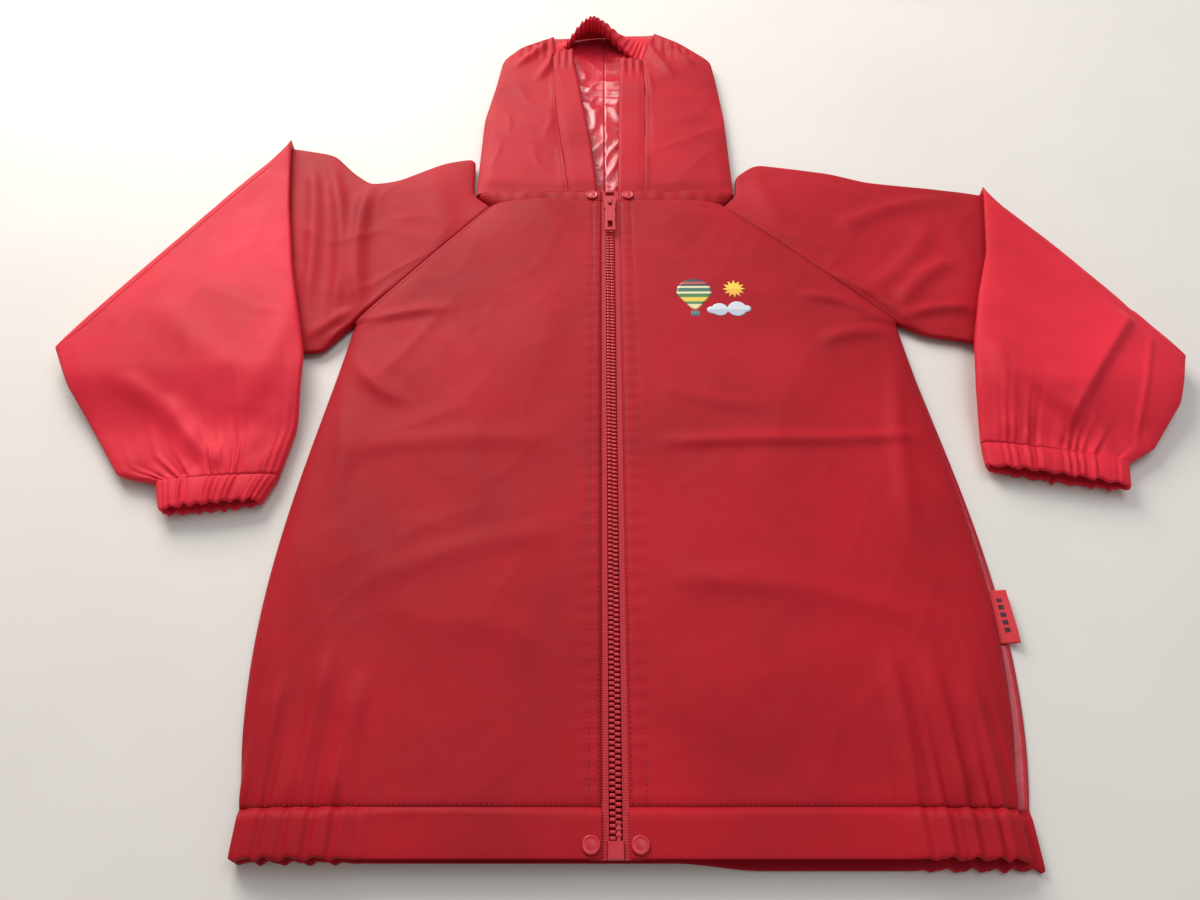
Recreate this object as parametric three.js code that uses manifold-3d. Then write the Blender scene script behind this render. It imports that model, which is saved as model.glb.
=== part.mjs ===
// A child's foul weather jacket of coated nylon, zipped shut and laid flat on its back with the hood up
// and both sleeves folded over themselves. +X points to the wearer's left, +Y to the hood, +Z up, and the
// origin is under the back panel, on the zip line, halfway between hem and neck seam.
import * as THREE from "three";
import { mergeVertices } from "three/addons/utils/BufferGeometryUtils.js";
import Module from "manifold-3d";

const wasm = await Module();
wasm.setup();

// ---- Driving dimensions, in millimetres ----
const cloth = 1; // one layer of cloth with its creases
const gap = 0.3; // clearance between pieces that touch

const bodyLength = 494; // hem fold to neck seam, along the zip
const hemWidth = 414; // drawn in by its elastic
const waistWidth = 442; // widest place, a third of the way up
const chestWidth = 400; // armpit to armpit
const bodyShift = 11; // how far the middle of the body lies from the zip
const armpitDrop = 128; // neck seam to armpit
const neckWidth = 187; // between the raglan seams at the neck
const neckShift = -2.5; // how far the middle of the neck lies from the zip
const neckBandWidth = 11.6;
const bodyRise = 12; // space between the back and the fronts
const backRoll = 8; // how far the back shows past the left side seam

const hemDepth = 25; // depth of the elastic casing at the hem
const elastic = 0.8; // thickness of every elastic band

const sleeveRise = 9; // height of a sleeve lying flat
const cuffRise = 13; // height of a cuff, held half open by its elastic
const cuffDepth = 20;

const hoodWidth = 212;
const hoodShift = -4; // how far the middle of the hood lies from the zip
const hoodLength = 244; // neck seam to crown
const hoodRise = 11; // height of the hood lying flat
const brimRise = 24; // how far the gathered top of the brim stands above the hood

const placketHalf = 7; // zip line to the folded edge of a front
const tapeHalf = 13; // zip line to the outer edge of a zip tape
const tapeThick = 0.6;
const toothPitch = 3;
const toothWidth = 1.7;
const toothTip = 0.6; // zip line to the tip of a tooth
const chainHalf = 3.2; // zip line to the back of the teeth
const chainThick = 2.6;
const sliderLength = 13;
const sliderHalf = 4.8;
const sliderPlate = 1.2;
const bridgeWindow = 2.2; // clear height under the slider's bridge
const pullerLength = 34;
const pullerHalf = 4;
const pullerThick = 1.2;
const boxLength = 8.5; // retainer box at the foot of the zip
const boxHalf = 4;
const pinLength = 17; // insertion pin, with the stretch above the box
const flapHalf = 21; // zip line to the edge of the wind flap
const studRadius = 4.8; // press-stud cap
const socketRadius = 4;
const studInset = 12.5; // zip line to the studs on the hem
const neckStudInset = 14.5; // zip line to the studs on the neck band
const labelWidth = 10;
const labelLength = 34;

// ---- Places worked out from them ----
const hemY = -bodyLength / 2;
const neckY = bodyLength / 2;
const armpitY = neckY - armpitDrop;
const bandTopY = neckY + gap + neckBandWidth;
const hoodY = bandTopY + gap;
const crownY = hoodY + hoodLength;
const casingThick = 2 * cloth + elastic + 2 * gap;
const panelFootY = hemY + hemDepth + gap;
const tapeZ = bodyRise - gap - tapeThick;
const chainZ = tapeZ + (tapeThick - chainThick) / 2;
const chainTopZ = chainZ + chainThick;
const lowerPlateZ = chainZ - gap - sliderPlate;
const upperPlateZ = chainTopZ + gap;
const flapZ = lowerPlateZ - gap - cloth;
const pivotZ = upperPlateZ + sliderPlate + bridgeWindow / 2;
const boxTopY = hemY + 0.5 + boxLength;
const sliderTopY = neckY + 3;

const red = "#c9303d";
const brightRed = "#e0404e";
const plasticRed = "#a81f2c";
const elasticWhite = "#e9e4dc";

const jacket = new THREE.Group();
jacket.name = "foul_weather_jacket";

// ---- Shared ways of making a piece ----

// Keeps only the corners of a closed geometry, merges the shared ones and turns its faces outward.
function closed(geometry) {
  const bare = geometry.index ? geometry : geometry.clone();
  for (const name of Object.keys(bare.attributes)) {
    if (name !== "position") bare.deleteAttribute(name);
  }
  const merged = mergeVertices(bare, 1e-3);
  const index = merged.index.array;
  const corner = [0, 1, 2].map(() => new THREE.Vector3());
  const faces = [];
  let volume = 0;
  for (let i = 0; i < index.length; i += 3) {
    const face = [index[i], index[i + 1], index[i + 2]];
    if (new Set(face).size < 3) continue;
    face.forEach((vertex, k) => corner[k].fromBufferAttribute(merged.attributes.position, vertex));
    volume += corner[0].dot(corner[1].clone().cross(corner[2]));
    faces.push(face);
  }
  merged.setIndex(faces.flatMap((face) => (volume > 0 ? face : face.toReversed())));
  return merged;
}

// Names a piece, gives it its colour and hangs it on the jacket.
function add(name, geometry, colour, roughness = 0.6) {
  const material = new THREE.MeshStandardMaterial({ color: colour, roughness, metalness: 0 });
  const mesh = new THREE.Mesh(closed(geometry), material);
  mesh.name = name;
  jacket.add(mesh);
}

// A sheet of cloth: a thin box whose corners are moved by place(u, v, w), each from 0 to 1.
function sheet(columns, rows, place) {
  const box = new THREE.BoxGeometry(1, 1, 1, columns, rows, 1);
  const corners = box.attributes.position;
  for (let i = 0; i < corners.count; i++) {
    const spot = place(corners.getX(i) + 0.5, corners.getY(i) + 0.5, corners.getZ(i) + 0.5);
    corners.setXYZ(i, ...spot);
  }
  return box;
}

// A band that runs round a flattened loop. The profile lists [depth, station] pairs, depth being measured
// inward from the outside of the loop, and place(angle, depth, station) gives the point.
function band(profile, around, place) {
  const reach = 50;
  const outline = [...profile, profile[0]].map(([depth, station]) => {
    return new THREE.Vector2(reach - depth, station);
  });
  const ring = new THREE.LatheGeometry(outline, around);
  const corners = ring.attributes.position;
  for (let i = 0; i < corners.count; i++) {
    const [x, y, z] = [corners.getX(i), corners.getY(i), corners.getZ(i)];
    corners.setXYZ(i, ...place(Math.atan2(x, z), reach - Math.hypot(x, z), y));
  }
  return ring;
}

// The profile of a plain tube wall with this many stretches along it.
function wall(stretches, thickness = cloth) {
  const stations = Array.from({ length: stretches + 1 }, (_, i) => i / stretches);
  return [...stations.map((s) => [0, s]), ...stations.toReversed().map((s) => [thickness, s])];
}

// A flattened loop's point: it lies between edge points a and b, from height base up to base + rise.
function onLoop(angle, depth, a, b, base, rise) {
  const width = a.distanceTo(b);
  const along = depth + (width - 2 * depth) * (1 - Math.cos(angle)) / 2;
  const swell = Math.sign(Math.sin(angle)) * Math.sqrt(Math.abs(Math.sin(angle)));
  const spot = a.clone().lerp(b, along / width);
  return [spot.x, spot.y, base + depth + (rise - 2 * depth) * (1 + swell) / 2];
}

// An edge of a cloth piece seen from above, through its corner points, shared out by length.
function edge(...points) {
  return new THREE.Path(points.map(([x, y]) => new THREE.Vector2(x, y)));
}

// The same, with an equal share of the edge between each corner and the next.
function corneredEdge(...points) {
  const corners = points.map(([x, y]) => new THREE.Vector2(x, y));
  const stretches = corners.length - 1;
  const getPoint = (share) => {
    const first = Math.min(Math.floor(share * stretches), stretches - 1);
    return corners[first].clone().lerp(corners[first + 1], share * stretches - first);
  };
  return { getPoint };
}

function block(x0, x1, y0, y1, z0, z1) {
  const box = new THREE.BoxGeometry(x1 - x0, y1 - y0, z1 - z0);
  return box.translate((x0 + x1) / 2, (y0 + y1) / 2, (z0 + z1) / 2);
}

function disc(radius, x, y, z0, z1, segments = 20) {
  const cylinder = new THREE.CylinderGeometry(radius, radius, z1 - z0, segments);
  return cylinder.rotateX(Math.PI / 2).translate(x, y, (z0 + z1) / 2);
}

function plate(outline, z0, z1) {
  const shape = new THREE.Shape(outline.map(([x, y]) => new THREE.Vector2(x, y)));
  const extruded = new THREE.ExtrudeGeometry(shape, { depth: z1 - z0, bevelEnabled: false });
  return extruded.translate(0, 0, z0);
}

function toSolid(geometry) {
  const bare = closed(geometry);
  const vertProperties = new Float32Array(bare.attributes.position.array);
  const triVerts = new Uint32Array(bare.index.array);
  return new wasm.Manifold(new wasm.Mesh({ numProp: 3, vertProperties, triVerts }));
}

function toGeometry(solid) {
  const mesh = solid.getMesh();
  const geometry = new THREE.BufferGeometry();
  geometry.setAttribute("position", new THREE.BufferAttribute(new Float32Array(mesh.vertProperties), 3));
  geometry.setIndex(new THREE.BufferAttribute(new Uint32Array(mesh.triVerts), 1));
  return geometry;
}

// ---- Body: one back panel and two fronts ----

// The side seam from the hem casing to the armpit. Sign is -1 on the wearer's right and 1 on the left.
function sideSeam(sign, inset = 0) {
  const x = (width) => bodyShift + sign * (width / 2 - inset);
  const waistY = hemY + bodyLength * 0.3;
  const chestY = (waistY + armpitY) / 2;
  return new THREE.SplineCurve([
    new THREE.Vector2(x(hemWidth), panelFootY),
    new THREE.Vector2(x(waistWidth), waistY),
    new THREE.Vector2(x((waistWidth + chestWidth) / 2 + 4), chestY),
    new THREE.Vector2(x(chestWidth), armpitY),
  ]);
}

const neckCorner = (sign) => new THREE.Vector2(neckShift + sign * neckWidth / 2, neckY);
const armpit = (sign) => new THREE.Vector2(bodyShift + sign * chestWidth / 2, armpitY);

// Where a body panel ends beside the sleeve, and the height of the front there.
const sideShare = 0.6;
const frontInset = (sign) => (sign > 0 ? backRoll : 0);

function panelEdge(sign, v, inset) {
  if (v <= sideShare) return sideSeam(sign, inset * (1 - v / sideShare)).getPoint(v / sideShare);
  return armpit(sign).lerp(neckCorner(sign), (v - sideShare) / (1 - sideShare));
}

function raglanZ(share) {
  return sleeveRise * (1 + Math.sqrt(2 * Math.sqrt(share * (1 - share)))) / 2 - cloth;
}

function frontEdgeZ(v) {
  return v <= sideShare ? cloth + gap : raglanZ((v - sideShare) / (1 - sideShare));
}

// The front stays level and drops in a roll at its outer edge.
function frontZ(u, edgeZ) {
  return edgeZ + (bodyRise - edgeZ) * Math.sqrt(1 - Math.min(1, u) ** 10);
}

const crowded = (u) => 1 - (1 - u) ** 1.6; // columns crowd toward the outer edge

add("back_panel", sheet(8, 15, (u, v, w) => {
  const x = THREE.MathUtils.lerp(panelEdge(-1, v, 0).x, panelEdge(1, v, 0).x, u);
  return [x, panelEdge(1, v, 0).y, w * cloth];
}), red);

for (const [side, sign] of [["right", -1], ["left", 1]]) {
  add(`front_panel_${side}`, sheet(9, 15, (u, v, w) => {
    const outer = panelEdge(sign, v, frontInset(sign));
    const x = THREE.MathUtils.lerp(sign * placketHalf, outer.x, crowded(u));
    return [x, outer.y, frontZ(crowded(u), frontEdgeZ(v)) + w * cloth];
  }), red);
}

// ---- Hem: a casing along the back and each front, gathered by elastic beside the side seams ----

const hemLeft = bodyShift + hemWidth / 2;
const hemRight = bodyShift - hemWidth / 2;

// A casing is a flat tube along X from one end to the other, its underside at height(share).
function casing(x0, x1, height, stretches) {
  return band(wall(stretches), 12, (angle, depth, share) => {
    const x = THREE.MathUtils.lerp(x0, x1, crowded(share));
    const fold = new THREE.Vector2(x, hemY);
    const stitches = new THREE.Vector2(x, hemY + hemDepth);
    return onLoop(angle, depth, fold, stitches, height(crowded(share)), casingThick);
  });
}

add("hem_casing_back", casing(hemRight, hemLeft, () => 0, 4), brightRed);

// The elastic fills the outermost columns of a front casing, and the same length of the back casing.
const frontColumns = 9;
const gatheredColumns = 4;

function hemElastic(x0, x1, height) {
  return sheet(gatheredColumns, 1, (u, v, w) => {
    const share = crowded((frontColumns - gatheredColumns * (1 - u)) / frontColumns);
    const y = hemY + hemDepth * (0.2 + 0.6 * v);
    return [THREE.MathUtils.lerp(x0, x1, share), y, height(share) + cloth + gap + w * elastic];
  });
}

for (const [side, sign] of [["right", -1], ["left", 1]]) {
  const seamX = sign > 0 ? hemLeft : hemRight;
  const outerX = sign > 0 ? hemLeft - backRoll : hemRight;
  const innerX = sign * placketHalf;
  const height = (u) => frontZ(u, casingThick + gap);
  add(`hem_casing_front_${side}`, casing(innerX, outerX, height, frontColumns), brightRed);
  add(`hem_elastic_front_${side}`, hemElastic(innerX, outerX, height), elasticWhite);
  add(`hem_elastic_back_${side}`, hemElastic(innerX, seamX, () => 0), elasticWhite);
}

// ---- Neck band: a strip round the neck seam, with the hanging loop inside it ----

// Where a sleeve's top edge leaves the neck seam and passes the corner of the hood.
const hoodCorner = (sign) => [hoodShift + sign * (hoodWidth / 2 + 2), hoodY + 2];

function bandEnd(sign, y) {
  const [cornerX, cornerY] = hoodCorner(sign);
  const seam = neckCorner(sign);
  return THREE.MathUtils.mapLinear(y, seam.y, cornerY, seam.x, cornerX) - sign * 3 * gap;
}

for (const [side, sign] of [["right", -1], ["left", 1]]) {
  add(`neck_band_${side}`, sheet(9, 1, (u, v, w) => {
    const y = THREE.MathUtils.lerp(neckY + gap, bandTopY, v);
    const x = THREE.MathUtils.lerp(sign * placketHalf, bandEnd(sign, y), crowded(u));
    return [x, y, frontZ(crowded(u), raglanZ(1)) + w * cloth];
  }), red);
}

add("neck_band_back", sheet(4, 1, (u, v, w) => {
  const y = THREE.MathUtils.lerp(neckY + gap, bandTopY, v);
  return [THREE.MathUtils.lerp(bandEnd(-1, y), bandEnd(1, y), u), y, w * cloth];
}), red);

add("hanging_loop", sheet(8, 1, (u, v, w) => {
  const droop = 14 * Math.sin(Math.PI * u);
  const y = neckY + neckBandWidth / 2 - droop + (v - 0.5) * 5;
  return [neckShift + (u - 0.5) * 56, y, cloth + gap + w * cloth];
}), red);

// ---- Sleeves: an upper sleeve on the body, and a lower one folded back over it with its cuff ----

// Points seen from above. Those of the upper sleeve are measured from the armpit or the hood's corner, and
// those of the lower sleeve from the fold's two ends and from the body's widest place beside it, so that
// the pieces follow when a size changes.
const from = (origin, dx, dy) => [origin[0] + dx, origin[1] + dy];
const rightArmpit = armpit(-1).toArray();
const leftArmpit = armpit(1).toArray();
const bodySide = (sign) => [bodyShift + sign * Math.max(chestWidth, waistWidth) / 2, armpitY];
const rightSide = bodySide(-1);
const leftSide = bodySide(1);
const rightFold = { low: from(rightArmpit, -206, -30), high: from(hoodCorner(-1), -161, 62) };
const leftFold = { low: from(leftArmpit, 194, -38), high: from(hoodCorner(1), 202, 1) };

const sleeves = [
  {
    side: "right",
    sign: -1,
    fold: rightFold,
    under: [from(rightArmpit, -19, -27), from(rightArmpit, -54, -29)],
    over: [
      hoodCorner(-1), from(hoodCorner(-1), -2, 48), from(hoodCorner(-1), -28, 41),
      from(hoodCorner(-1), -63, 19), from(hoodCorner(-1), -86, 14), from(hoodCorner(-1), -104, 30),
      from(hoodCorner(-1), -123, 53),
    ],
    outer: [from(rightFold.low, 20, -34), from(rightFold.low, 73, -104), from(rightFold.low, 100, -110)],
    inner: [
      from(rightFold.high, 15, -82), from(rightSide, -31, 48), from(rightSide, -6, -38),
      from(rightSide, -2, -94), from(rightSide, -7, -135),
    ],
    cuff: [from(rightFold.low, 107, -131), from(rightSide, -14, -153)],
  },
  {
    side: "left",
    sign: 1,
    fold: leftFold,
    under: [from(leftArmpit, 19, -11), from(leftArmpit, 52, -18)],
    over: [
      hoodCorner(1), from(hoodCorner(1), 1, 24), from(hoodCorner(1), 19, 40), from(hoodCorner(1), 80, 28),
      from(hoodCorner(1), 109, 17), from(hoodCorner(1), 161, 9),
    ],
    outer: [from(leftFold.low, -17, -40), from(leftFold.low, -44, -74), from(leftFold.low, -66, -87)],
    inner: [
      from(leftFold.high, -17, -77), from(leftSide, 40, 20), from(leftSide, 26, -25),
      from(leftSide, 18, -65), from(leftSide, 14, -109),
    ],
    cuff: [from(leftFold.low, -71, -105), from(leftSide, 13, -127)],
  },
];

// Moves the two ends of the fold inward by half the clearance, so that fold edges meet face to face.
function foldEnds({ fold, sign }) {
  const low = new THREE.Vector2(...fold.low);
  const high = new THREE.Vector2(...fold.high);
  const along = high.clone().sub(low).normalize();
  const inward = new THREE.Vector2(-along.y, along.x).multiplyScalar(sign * gap / 2);
  return [low.add(inward).toArray(), high.add(inward).toArray()];
}

// Moves an end of the raglan seam outward by the clearance.
function besideSeam(point, sign) {
  const along = neckCorner(sign).sub(armpit(sign)).normalize();
  const outward = new THREE.Vector2(along.y, -along.x).multiplyScalar(sign * gap);
  return point.clone().add(outward).toArray();
}

// The folded-back sleeve rests on the upper sleeve, then sinks to the table below its underarm edge.
function lowerSleeveZ(y, underarmY) {
  const sunk = THREE.MathUtils.smoothstep(y, underarmY - 75, underarmY - 18);
  return gap + sleeveRise * sunk;
}

for (const sleeve of sleeves) {
  const [foldLow, foldHigh] = foldEnds(sleeve);
  const under = corneredEdge(besideSeam(armpit(sleeve.sign), sleeve.sign), ...sleeve.under, foldLow);
  const over = corneredEdge(besideSeam(neckCorner(sleeve.sign), sleeve.sign), ...sleeve.over, foldHigh);
  add(`${sleeve.side}_upper_sleeve`, band(wall(3 * (sleeve.over.length + 1)), 20, (angle, depth, s) => {
    return onLoop(angle, depth, under.getPoint(s), over.getPoint(s), 0, sleeveRise);
  }), red);

  const outer = edge(foldLow, ...sleeve.outer);
  const inner = edge(foldHigh, ...sleeve.inner);
  const underarmY = Math.min(foldLow[1], sleeve.under[0][1], sleeve.under[1][1]);
  add(`${sleeve.side}_lower_sleeve`, band(wall(20), 24, (angle, depth, s) => {
    const rise = THREE.MathUtils.lerp(sleeveRise, cuffRise, s);
    const [x, y, z] = onLoop(angle, depth, outer.getPoint(s), inner.getPoint(s), 0, rise);
    return [x, y, z + lowerSleeveZ(y, underarmY)];
  }), brightRed);

  // The cuff is a turned-up casing: an outer and an inner wall joined by the fold at the wrist.
  const [outerWrist, innerWrist] = sleeve.cuff.map((point) => new THREE.Vector2(...point));
  const start = gap / cuffDepth;
  const onCuff = (angle, depth, s) => {
    const a = outer.getPoint(1).lerp(outerWrist, s);
    const b = inner.getPoint(1).lerp(innerWrist, s);
    return onLoop(angle, depth, a, b, gap, cuffRise);
  };
  const inside = cloth + elastic + 2 * gap;
  const fold = 1 - cloth / cuffDepth;
  const turnedUp = [
    [0, start], [0, 1], [inside + cloth, 1], [inside + cloth, start], [inside, start], [inside, fold],
    [cloth, fold], [cloth, start],
  ];
  add(`${sleeve.side}_cuff`, band(turnedUp, 20, onCuff), brightRed);
  const strip = [cloth + gap, cloth + gap + elastic];
  const [near, far] = [0.25, 0.85];
  const elasticBand = [[strip[0], near], [strip[0], far], [strip[1], far], [strip[1], near]];
  add(`${sleeve.side}_cuff_elastic`, band(elasticBand, 20, onCuff), elasticWhite);
}

// ---- Hood: two side panels joined at the back, a facing along each side of the face, a gathered brim ----

const hoodSides = [
  {
    side: "right",
    sign: -1,
    outline: [[-106, 0], [-106, 100], [-99, 152], [-95, 192], [-79, 216], [-49, 236]],
    facing: [[-29.4, 0], [-43, 113], [-49, 200], [-46, 208]],
    face: [[-6, 0], [-11.8, 67], [-23.5, 154], [-30, 208]],
  },
  {
    side: "left",
    sign: 1,
    outline: [[106, 0], [106, 100], [103, 152], [100, 190], [72, 224], [49, 242]],
    facing: [[32, 0], [36, 113], [37, 189], [36, 194]],
    face: [[10.6, 0], [12.6, 113], [14.5, 188], [12, 194]],
  },
];

// Hood points are measured from the middle of the neck seam and follow the hood's width and length.
const hoodPoint = ([x, y]) => [hoodShift + x * hoodWidth / 212, hoodY + y * hoodLength / 244];
const hoodEdge = (points, dx = 0) => edge(...points.map(hoodPoint).map(([x, y]) => [x + dx, y]));
const hoodHeight = (v) => hoodRise - 4 * Math.max(0, v - 0.75) / 0.25;

for (const { side, sign, outline, facing, face } of hoodSides) {
  const rim = hoodEdge(outline);
  const seam = edge([hoodShift + sign * gap / 2, hoodY], [hoodShift + sign * gap / 2, crownY]);
  const front = hoodEdge(facing, sign * gap / 2);
  add(`hood_panel_${side}`, sheet(14, 10, (u, v, w) => {
    const depth = (1 - w) * cloth;
    const turn = Math.abs(2 * u - 1) * Math.PI / 2;
    const target = u < 0.5 ? seam.getPoint(v) : front.getPoint(v);
    const rimPoint = rim.getPoint(v).add(new THREE.Vector2(-sign * depth, 0));
    const spot = rimPoint.lerp(target, 1 - Math.cos(turn));
    const swell = Math.sign(u - 0.5) * Math.sqrt(Math.sin(turn));
    return [spot.x, spot.y, depth + (hoodHeight(v) - 2 * depth) * (1 + swell) / 2];
  }), brightRed);

  const back = hoodEdge(facing, -sign * gap / 2);
  const open = hoodEdge(face);
  add(`hood_facing_${side}`, sheet(2, 10, (u, v, w) => {
    const spot = back.getPoint(v).lerp(open.getPoint(v), u);
    return [spot.x, spot.y, hoodHeight(v) - cloth + w * cloth];
  }), brightRed);
}

// The brim stands up in gathers from the crown seam to the top of the face opening.
const brimBack = [hoodPoint([-42, 229]), hoodPoint([0, 240]), hoodPoint([42, 236])];
const brimFront = [hoodPoint([-42, 210]), hoodPoint([-8, 226]), hoodPoint([34, 197])];
const brimLow = hoodHeight(1) - cloth;
const bow = ([a, b, c], u) => new THREE.QuadraticBezierCurve(
  new THREE.Vector2(...a), new THREE.Vector2(2 * b[0] - (a[0] + c[0]) / 2, 2 * b[1] - (a[1] + c[1]) / 2),
  new THREE.Vector2(...c),
).getPoint(u);
const brimFoot = (u) => cloth + gap + 2 * Math.abs(2 * u - 1) ** 3;
const brimTop = (u) => brimLow + brimRise * Math.cos(Math.PI * (u - 0.45)) ** 4;
const brimZ = (u, v) => THREE.MathUtils.lerp(brimFoot(u), brimTop(u), Math.sin(v * Math.PI / 2));

const brimColumns = 16;
add("hood_brim_casing", sheet(brimColumns, 12, (u, v, w) => {
  const spot = bow(brimBack, u).lerp(bow(brimFront, u), v);
  return [spot.x, spot.y, brimZ(u, v) + w * cloth];
}), brightRed);

// The elastic lies under the front quarter of the casing and follows its gathers column by column.
add("hood_brim_elastic", sheet(10, 1, (u, v, w) => {
  const across = (3 + 10 * u) / brimColumns;
  const share = 0.1 + 0.7 * v;
  const spot = bow(brimBack, across).lerp(bow(brimFront, across), 0.75 + 0.25 * share);
  const under = THREE.MathUtils.lerp(brimZ(across, 0.75), brimZ(across, 1), share);
  return [spot.x, spot.y, under - 2 * gap - elastic + w * elastic];
}), elasticWhite);

// ---- Zip: two tapes with moulded teeth, held by the slider, the pin and the retainer box ----

const teethTopY = sliderTopY;
for (const [side, sign] of [["right", -1], ["left", 1]]) {
  const x = (value) => sign * value;
  const tape = [
    [x(boxHalf + gap), hemY + gap], [x(tapeHalf), hemY + gap], [x(tapeHalf), bandTopY],
    [x(chainHalf + gap), bandTopY], [x(chainHalf + gap), boxTopY + gap], [x(boxHalf + gap), boxTopY + gap],
  ];
  add(`zip_tape_${side}`, plate(tape, tapeZ, tapeZ + tapeThick), plasticRed);

  const firstY = boxTopY + gap + (sign > 0 ? pinLength - boxLength : 0);
  const teeth = [[x(chainHalf), firstY]];
  const count = Math.floor((teethTopY - firstY) / toothPitch);
  teeth.push([x(chainHalf), firstY + count * toothPitch]);
  for (let i = count - 1; i >= 0; i--) {
    const y = firstY + i * toothPitch;
    teeth.push([x(toothTip + 2), y + toothWidth], [x(toothTip), y + toothWidth], [x(toothTip), y]);
    if (i > 0) teeth.push([x(toothTip + 2), y]);
  }
  add(`zip_teeth_${side}`, plate(teeth, chainZ, chainTopZ), plasticRed, 0.4);

  const stopY = sliderTopY + gap;
  const stop = block(toothTip * 2, chainHalf, stopY, stopY + toothPitch, chainZ, chainTopZ);
  add(`top_stop_${side}`, sign > 0 ? stop : stop.scale(-1, 1, 1), plasticRed, 0.4);

  const filmInner = boxHalf + gap;
  const filmOuter = studInset - socketRadius - gap;
  const film = block(filmInner, filmOuter, hemY + gap, boxTopY, tapeZ - 2 * gap, tapeZ - gap);
  add(`end_film_${side}`, sign > 0 ? film : film.scale(-1, 1, 1), plasticRed, 0.2);
}

const pinHalf = 1;
const pinX = toothTip + pinHalf;
const pinFootY = boxTopY - boxLength + 2 * gap + 1;
const pin = block(
  pinX - pinHalf, pinX + pinHalf, pinFootY, boxTopY + pinLength - boxLength, chainZ + gap, chainTopZ - gap,
);
add("insertion_pin", pin, plasticRed, 0.4);
const slot = block(
  pinX - pinHalf - gap, pinX + pinHalf + gap, pinFootY - gap, boxTopY + 1, chainZ, chainTopZ,
);
const boxShell = block(-boxHalf, boxHalf, boxTopY - boxLength, boxTopY, chainZ - 0.6, chainTopZ + 0.6);
add("retainer_box", toGeometry(toSolid(boxShell).subtract(toSolid(slot))), plasticRed, 0.4);

// The slider: two plates with side flanges, joined by a neck between the rows of teeth, and a bridge.
const sliderFootY = sliderTopY - sliderLength;
const bridgeY = sliderTopY - sliderLength / 2;
const flange = (sliderHalf - chainHalf) * 0.5625; // the rest is its clearance beside the teeth
const flangeDrop = 0.9;
const bridgeHalf = 4;
const bridgeBar = 1;
const upperTopZ = upperPlateZ + sliderPlate;
const neckHalf = toothTip - gap;
const sliderPieces = [
  block(-sliderHalf, sliderHalf, sliderFootY, sliderTopY, upperPlateZ, upperTopZ),
  block(-sliderHalf, sliderHalf, sliderFootY, sliderTopY, lowerPlateZ, lowerPlateZ + sliderPlate),
  block(-neckHalf, neckHalf, sliderTopY - 5, sliderTopY, lowerPlateZ, upperTopZ),
];
for (const sign of [-1, 1]) {
  const inner = sign * (sliderHalf - flange);
  const outer = sign * sliderHalf;
  const [x0, x1] = [Math.min(inner, outer), Math.max(inner, outer)];
  sliderPieces.push(block(x0, x1, sliderFootY, sliderTopY, upperPlateZ - flangeDrop, upperTopZ));
  const lipZ = lowerPlateZ + sliderPlate + flangeDrop;
  sliderPieces.push(block(x0, x1, sliderFootY, sliderTopY, lowerPlateZ, lipZ));
}
const bridgeTopZ = upperTopZ + bridgeWindow;
const bridgeY0 = bridgeY - bridgeHalf;
const bridgeY1 = bridgeY + bridgeHalf;
sliderPieces.push(block(-bridgeBar, bridgeBar, bridgeY0, bridgeY1, bridgeTopZ, bridgeTopZ + 1));
for (const [y0, y1] of [[bridgeY0, bridgeY0 + bridgeBar], [bridgeY1 - bridgeBar, bridgeY1]]) {
  sliderPieces.push(block(-bridgeBar, bridgeBar, y0, y1, upperTopZ - 0.1, bridgeTopZ + 0.5));
}
const slider = sliderPieces.map(toSolid).reduce((whole, piece) => whole.add(piece));
add("slider_body", toGeometry(slider), plasticRed, 0.35);

// The puller hangs on the bridge by the bar at its end, and lies toward the hem.
const eyeHalf = bridgeBar + gap;
const pullerTop = bridgeY + pullerThick / 2;
const pullerPlate = block(
  -pullerHalf, pullerHalf, bridgeY - pullerLength, pullerTop,
  pivotZ - pullerThick / 2, pivotZ + pullerThick / 2,
);
const eye = block(
  -eyeHalf, eyeHalf, bridgeY - bridgeHalf - 1.5, bridgeY - pullerThick / 2, pivotZ - 2, pivotZ + 2,
);
const gripY = bridgeY - pullerLength;
const grip = block(-2, 2, gripY + 2.5, gripY + 10.5, pivotZ - 2, pivotZ + 2);
const puller = toSolid(pullerPlate).subtract(toSolid(eye)).subtract(toSolid(grip));
add("puller", toGeometry(puller), plasticRed, 0.35);

// ---- Wind flap behind the zip, sewn to the left front, and the press studs that hold it ----

add("wind_flap", sheet(8, 1, (u, v, w) => {
  const x = THREE.MathUtils.lerp(-flapHalf, flapHalf + 3, u);
  const rise = THREE.MathUtils.smoothstep(x, flapHalf - 3, flapHalf + 3) * (bodyRise - gap - cloth - flapZ);
  return [x, THREE.MathUtils.lerp(hemY + 3, bandTopY - 1, v), flapZ + rise + w * cloth];
}), red);

const studs = [
  { place: "hem", inset: studInset, y: hemY + 7, seat: bodyRise + casingThick },
  { place: "neck", inset: neckStudInset, y: neckY + gap + neckBandWidth / 2, seat: bodyRise + cloth },
];
for (const { place, inset, y, seat } of studs) {
  for (const [side, sign] of [["right", -1], ["left", 1]]) {
    const x = sign * inset;
    const cap = disc(studRadius, x, y, seat + gap, seat + gap + 1.2);
    add(`${place}_stud_cap_${side}`, cap, plasticRed, 0.3);
    const socket = disc(socketRadius, x, y, flapZ + cloth + gap, tapeZ - gap, 14);
    add(`${place}_stud_socket_${side}`, socket, plasticRed, 0.3);
  }
}

// ---- Trim: the label in the left side seam and the print on the left chest ----

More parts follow.
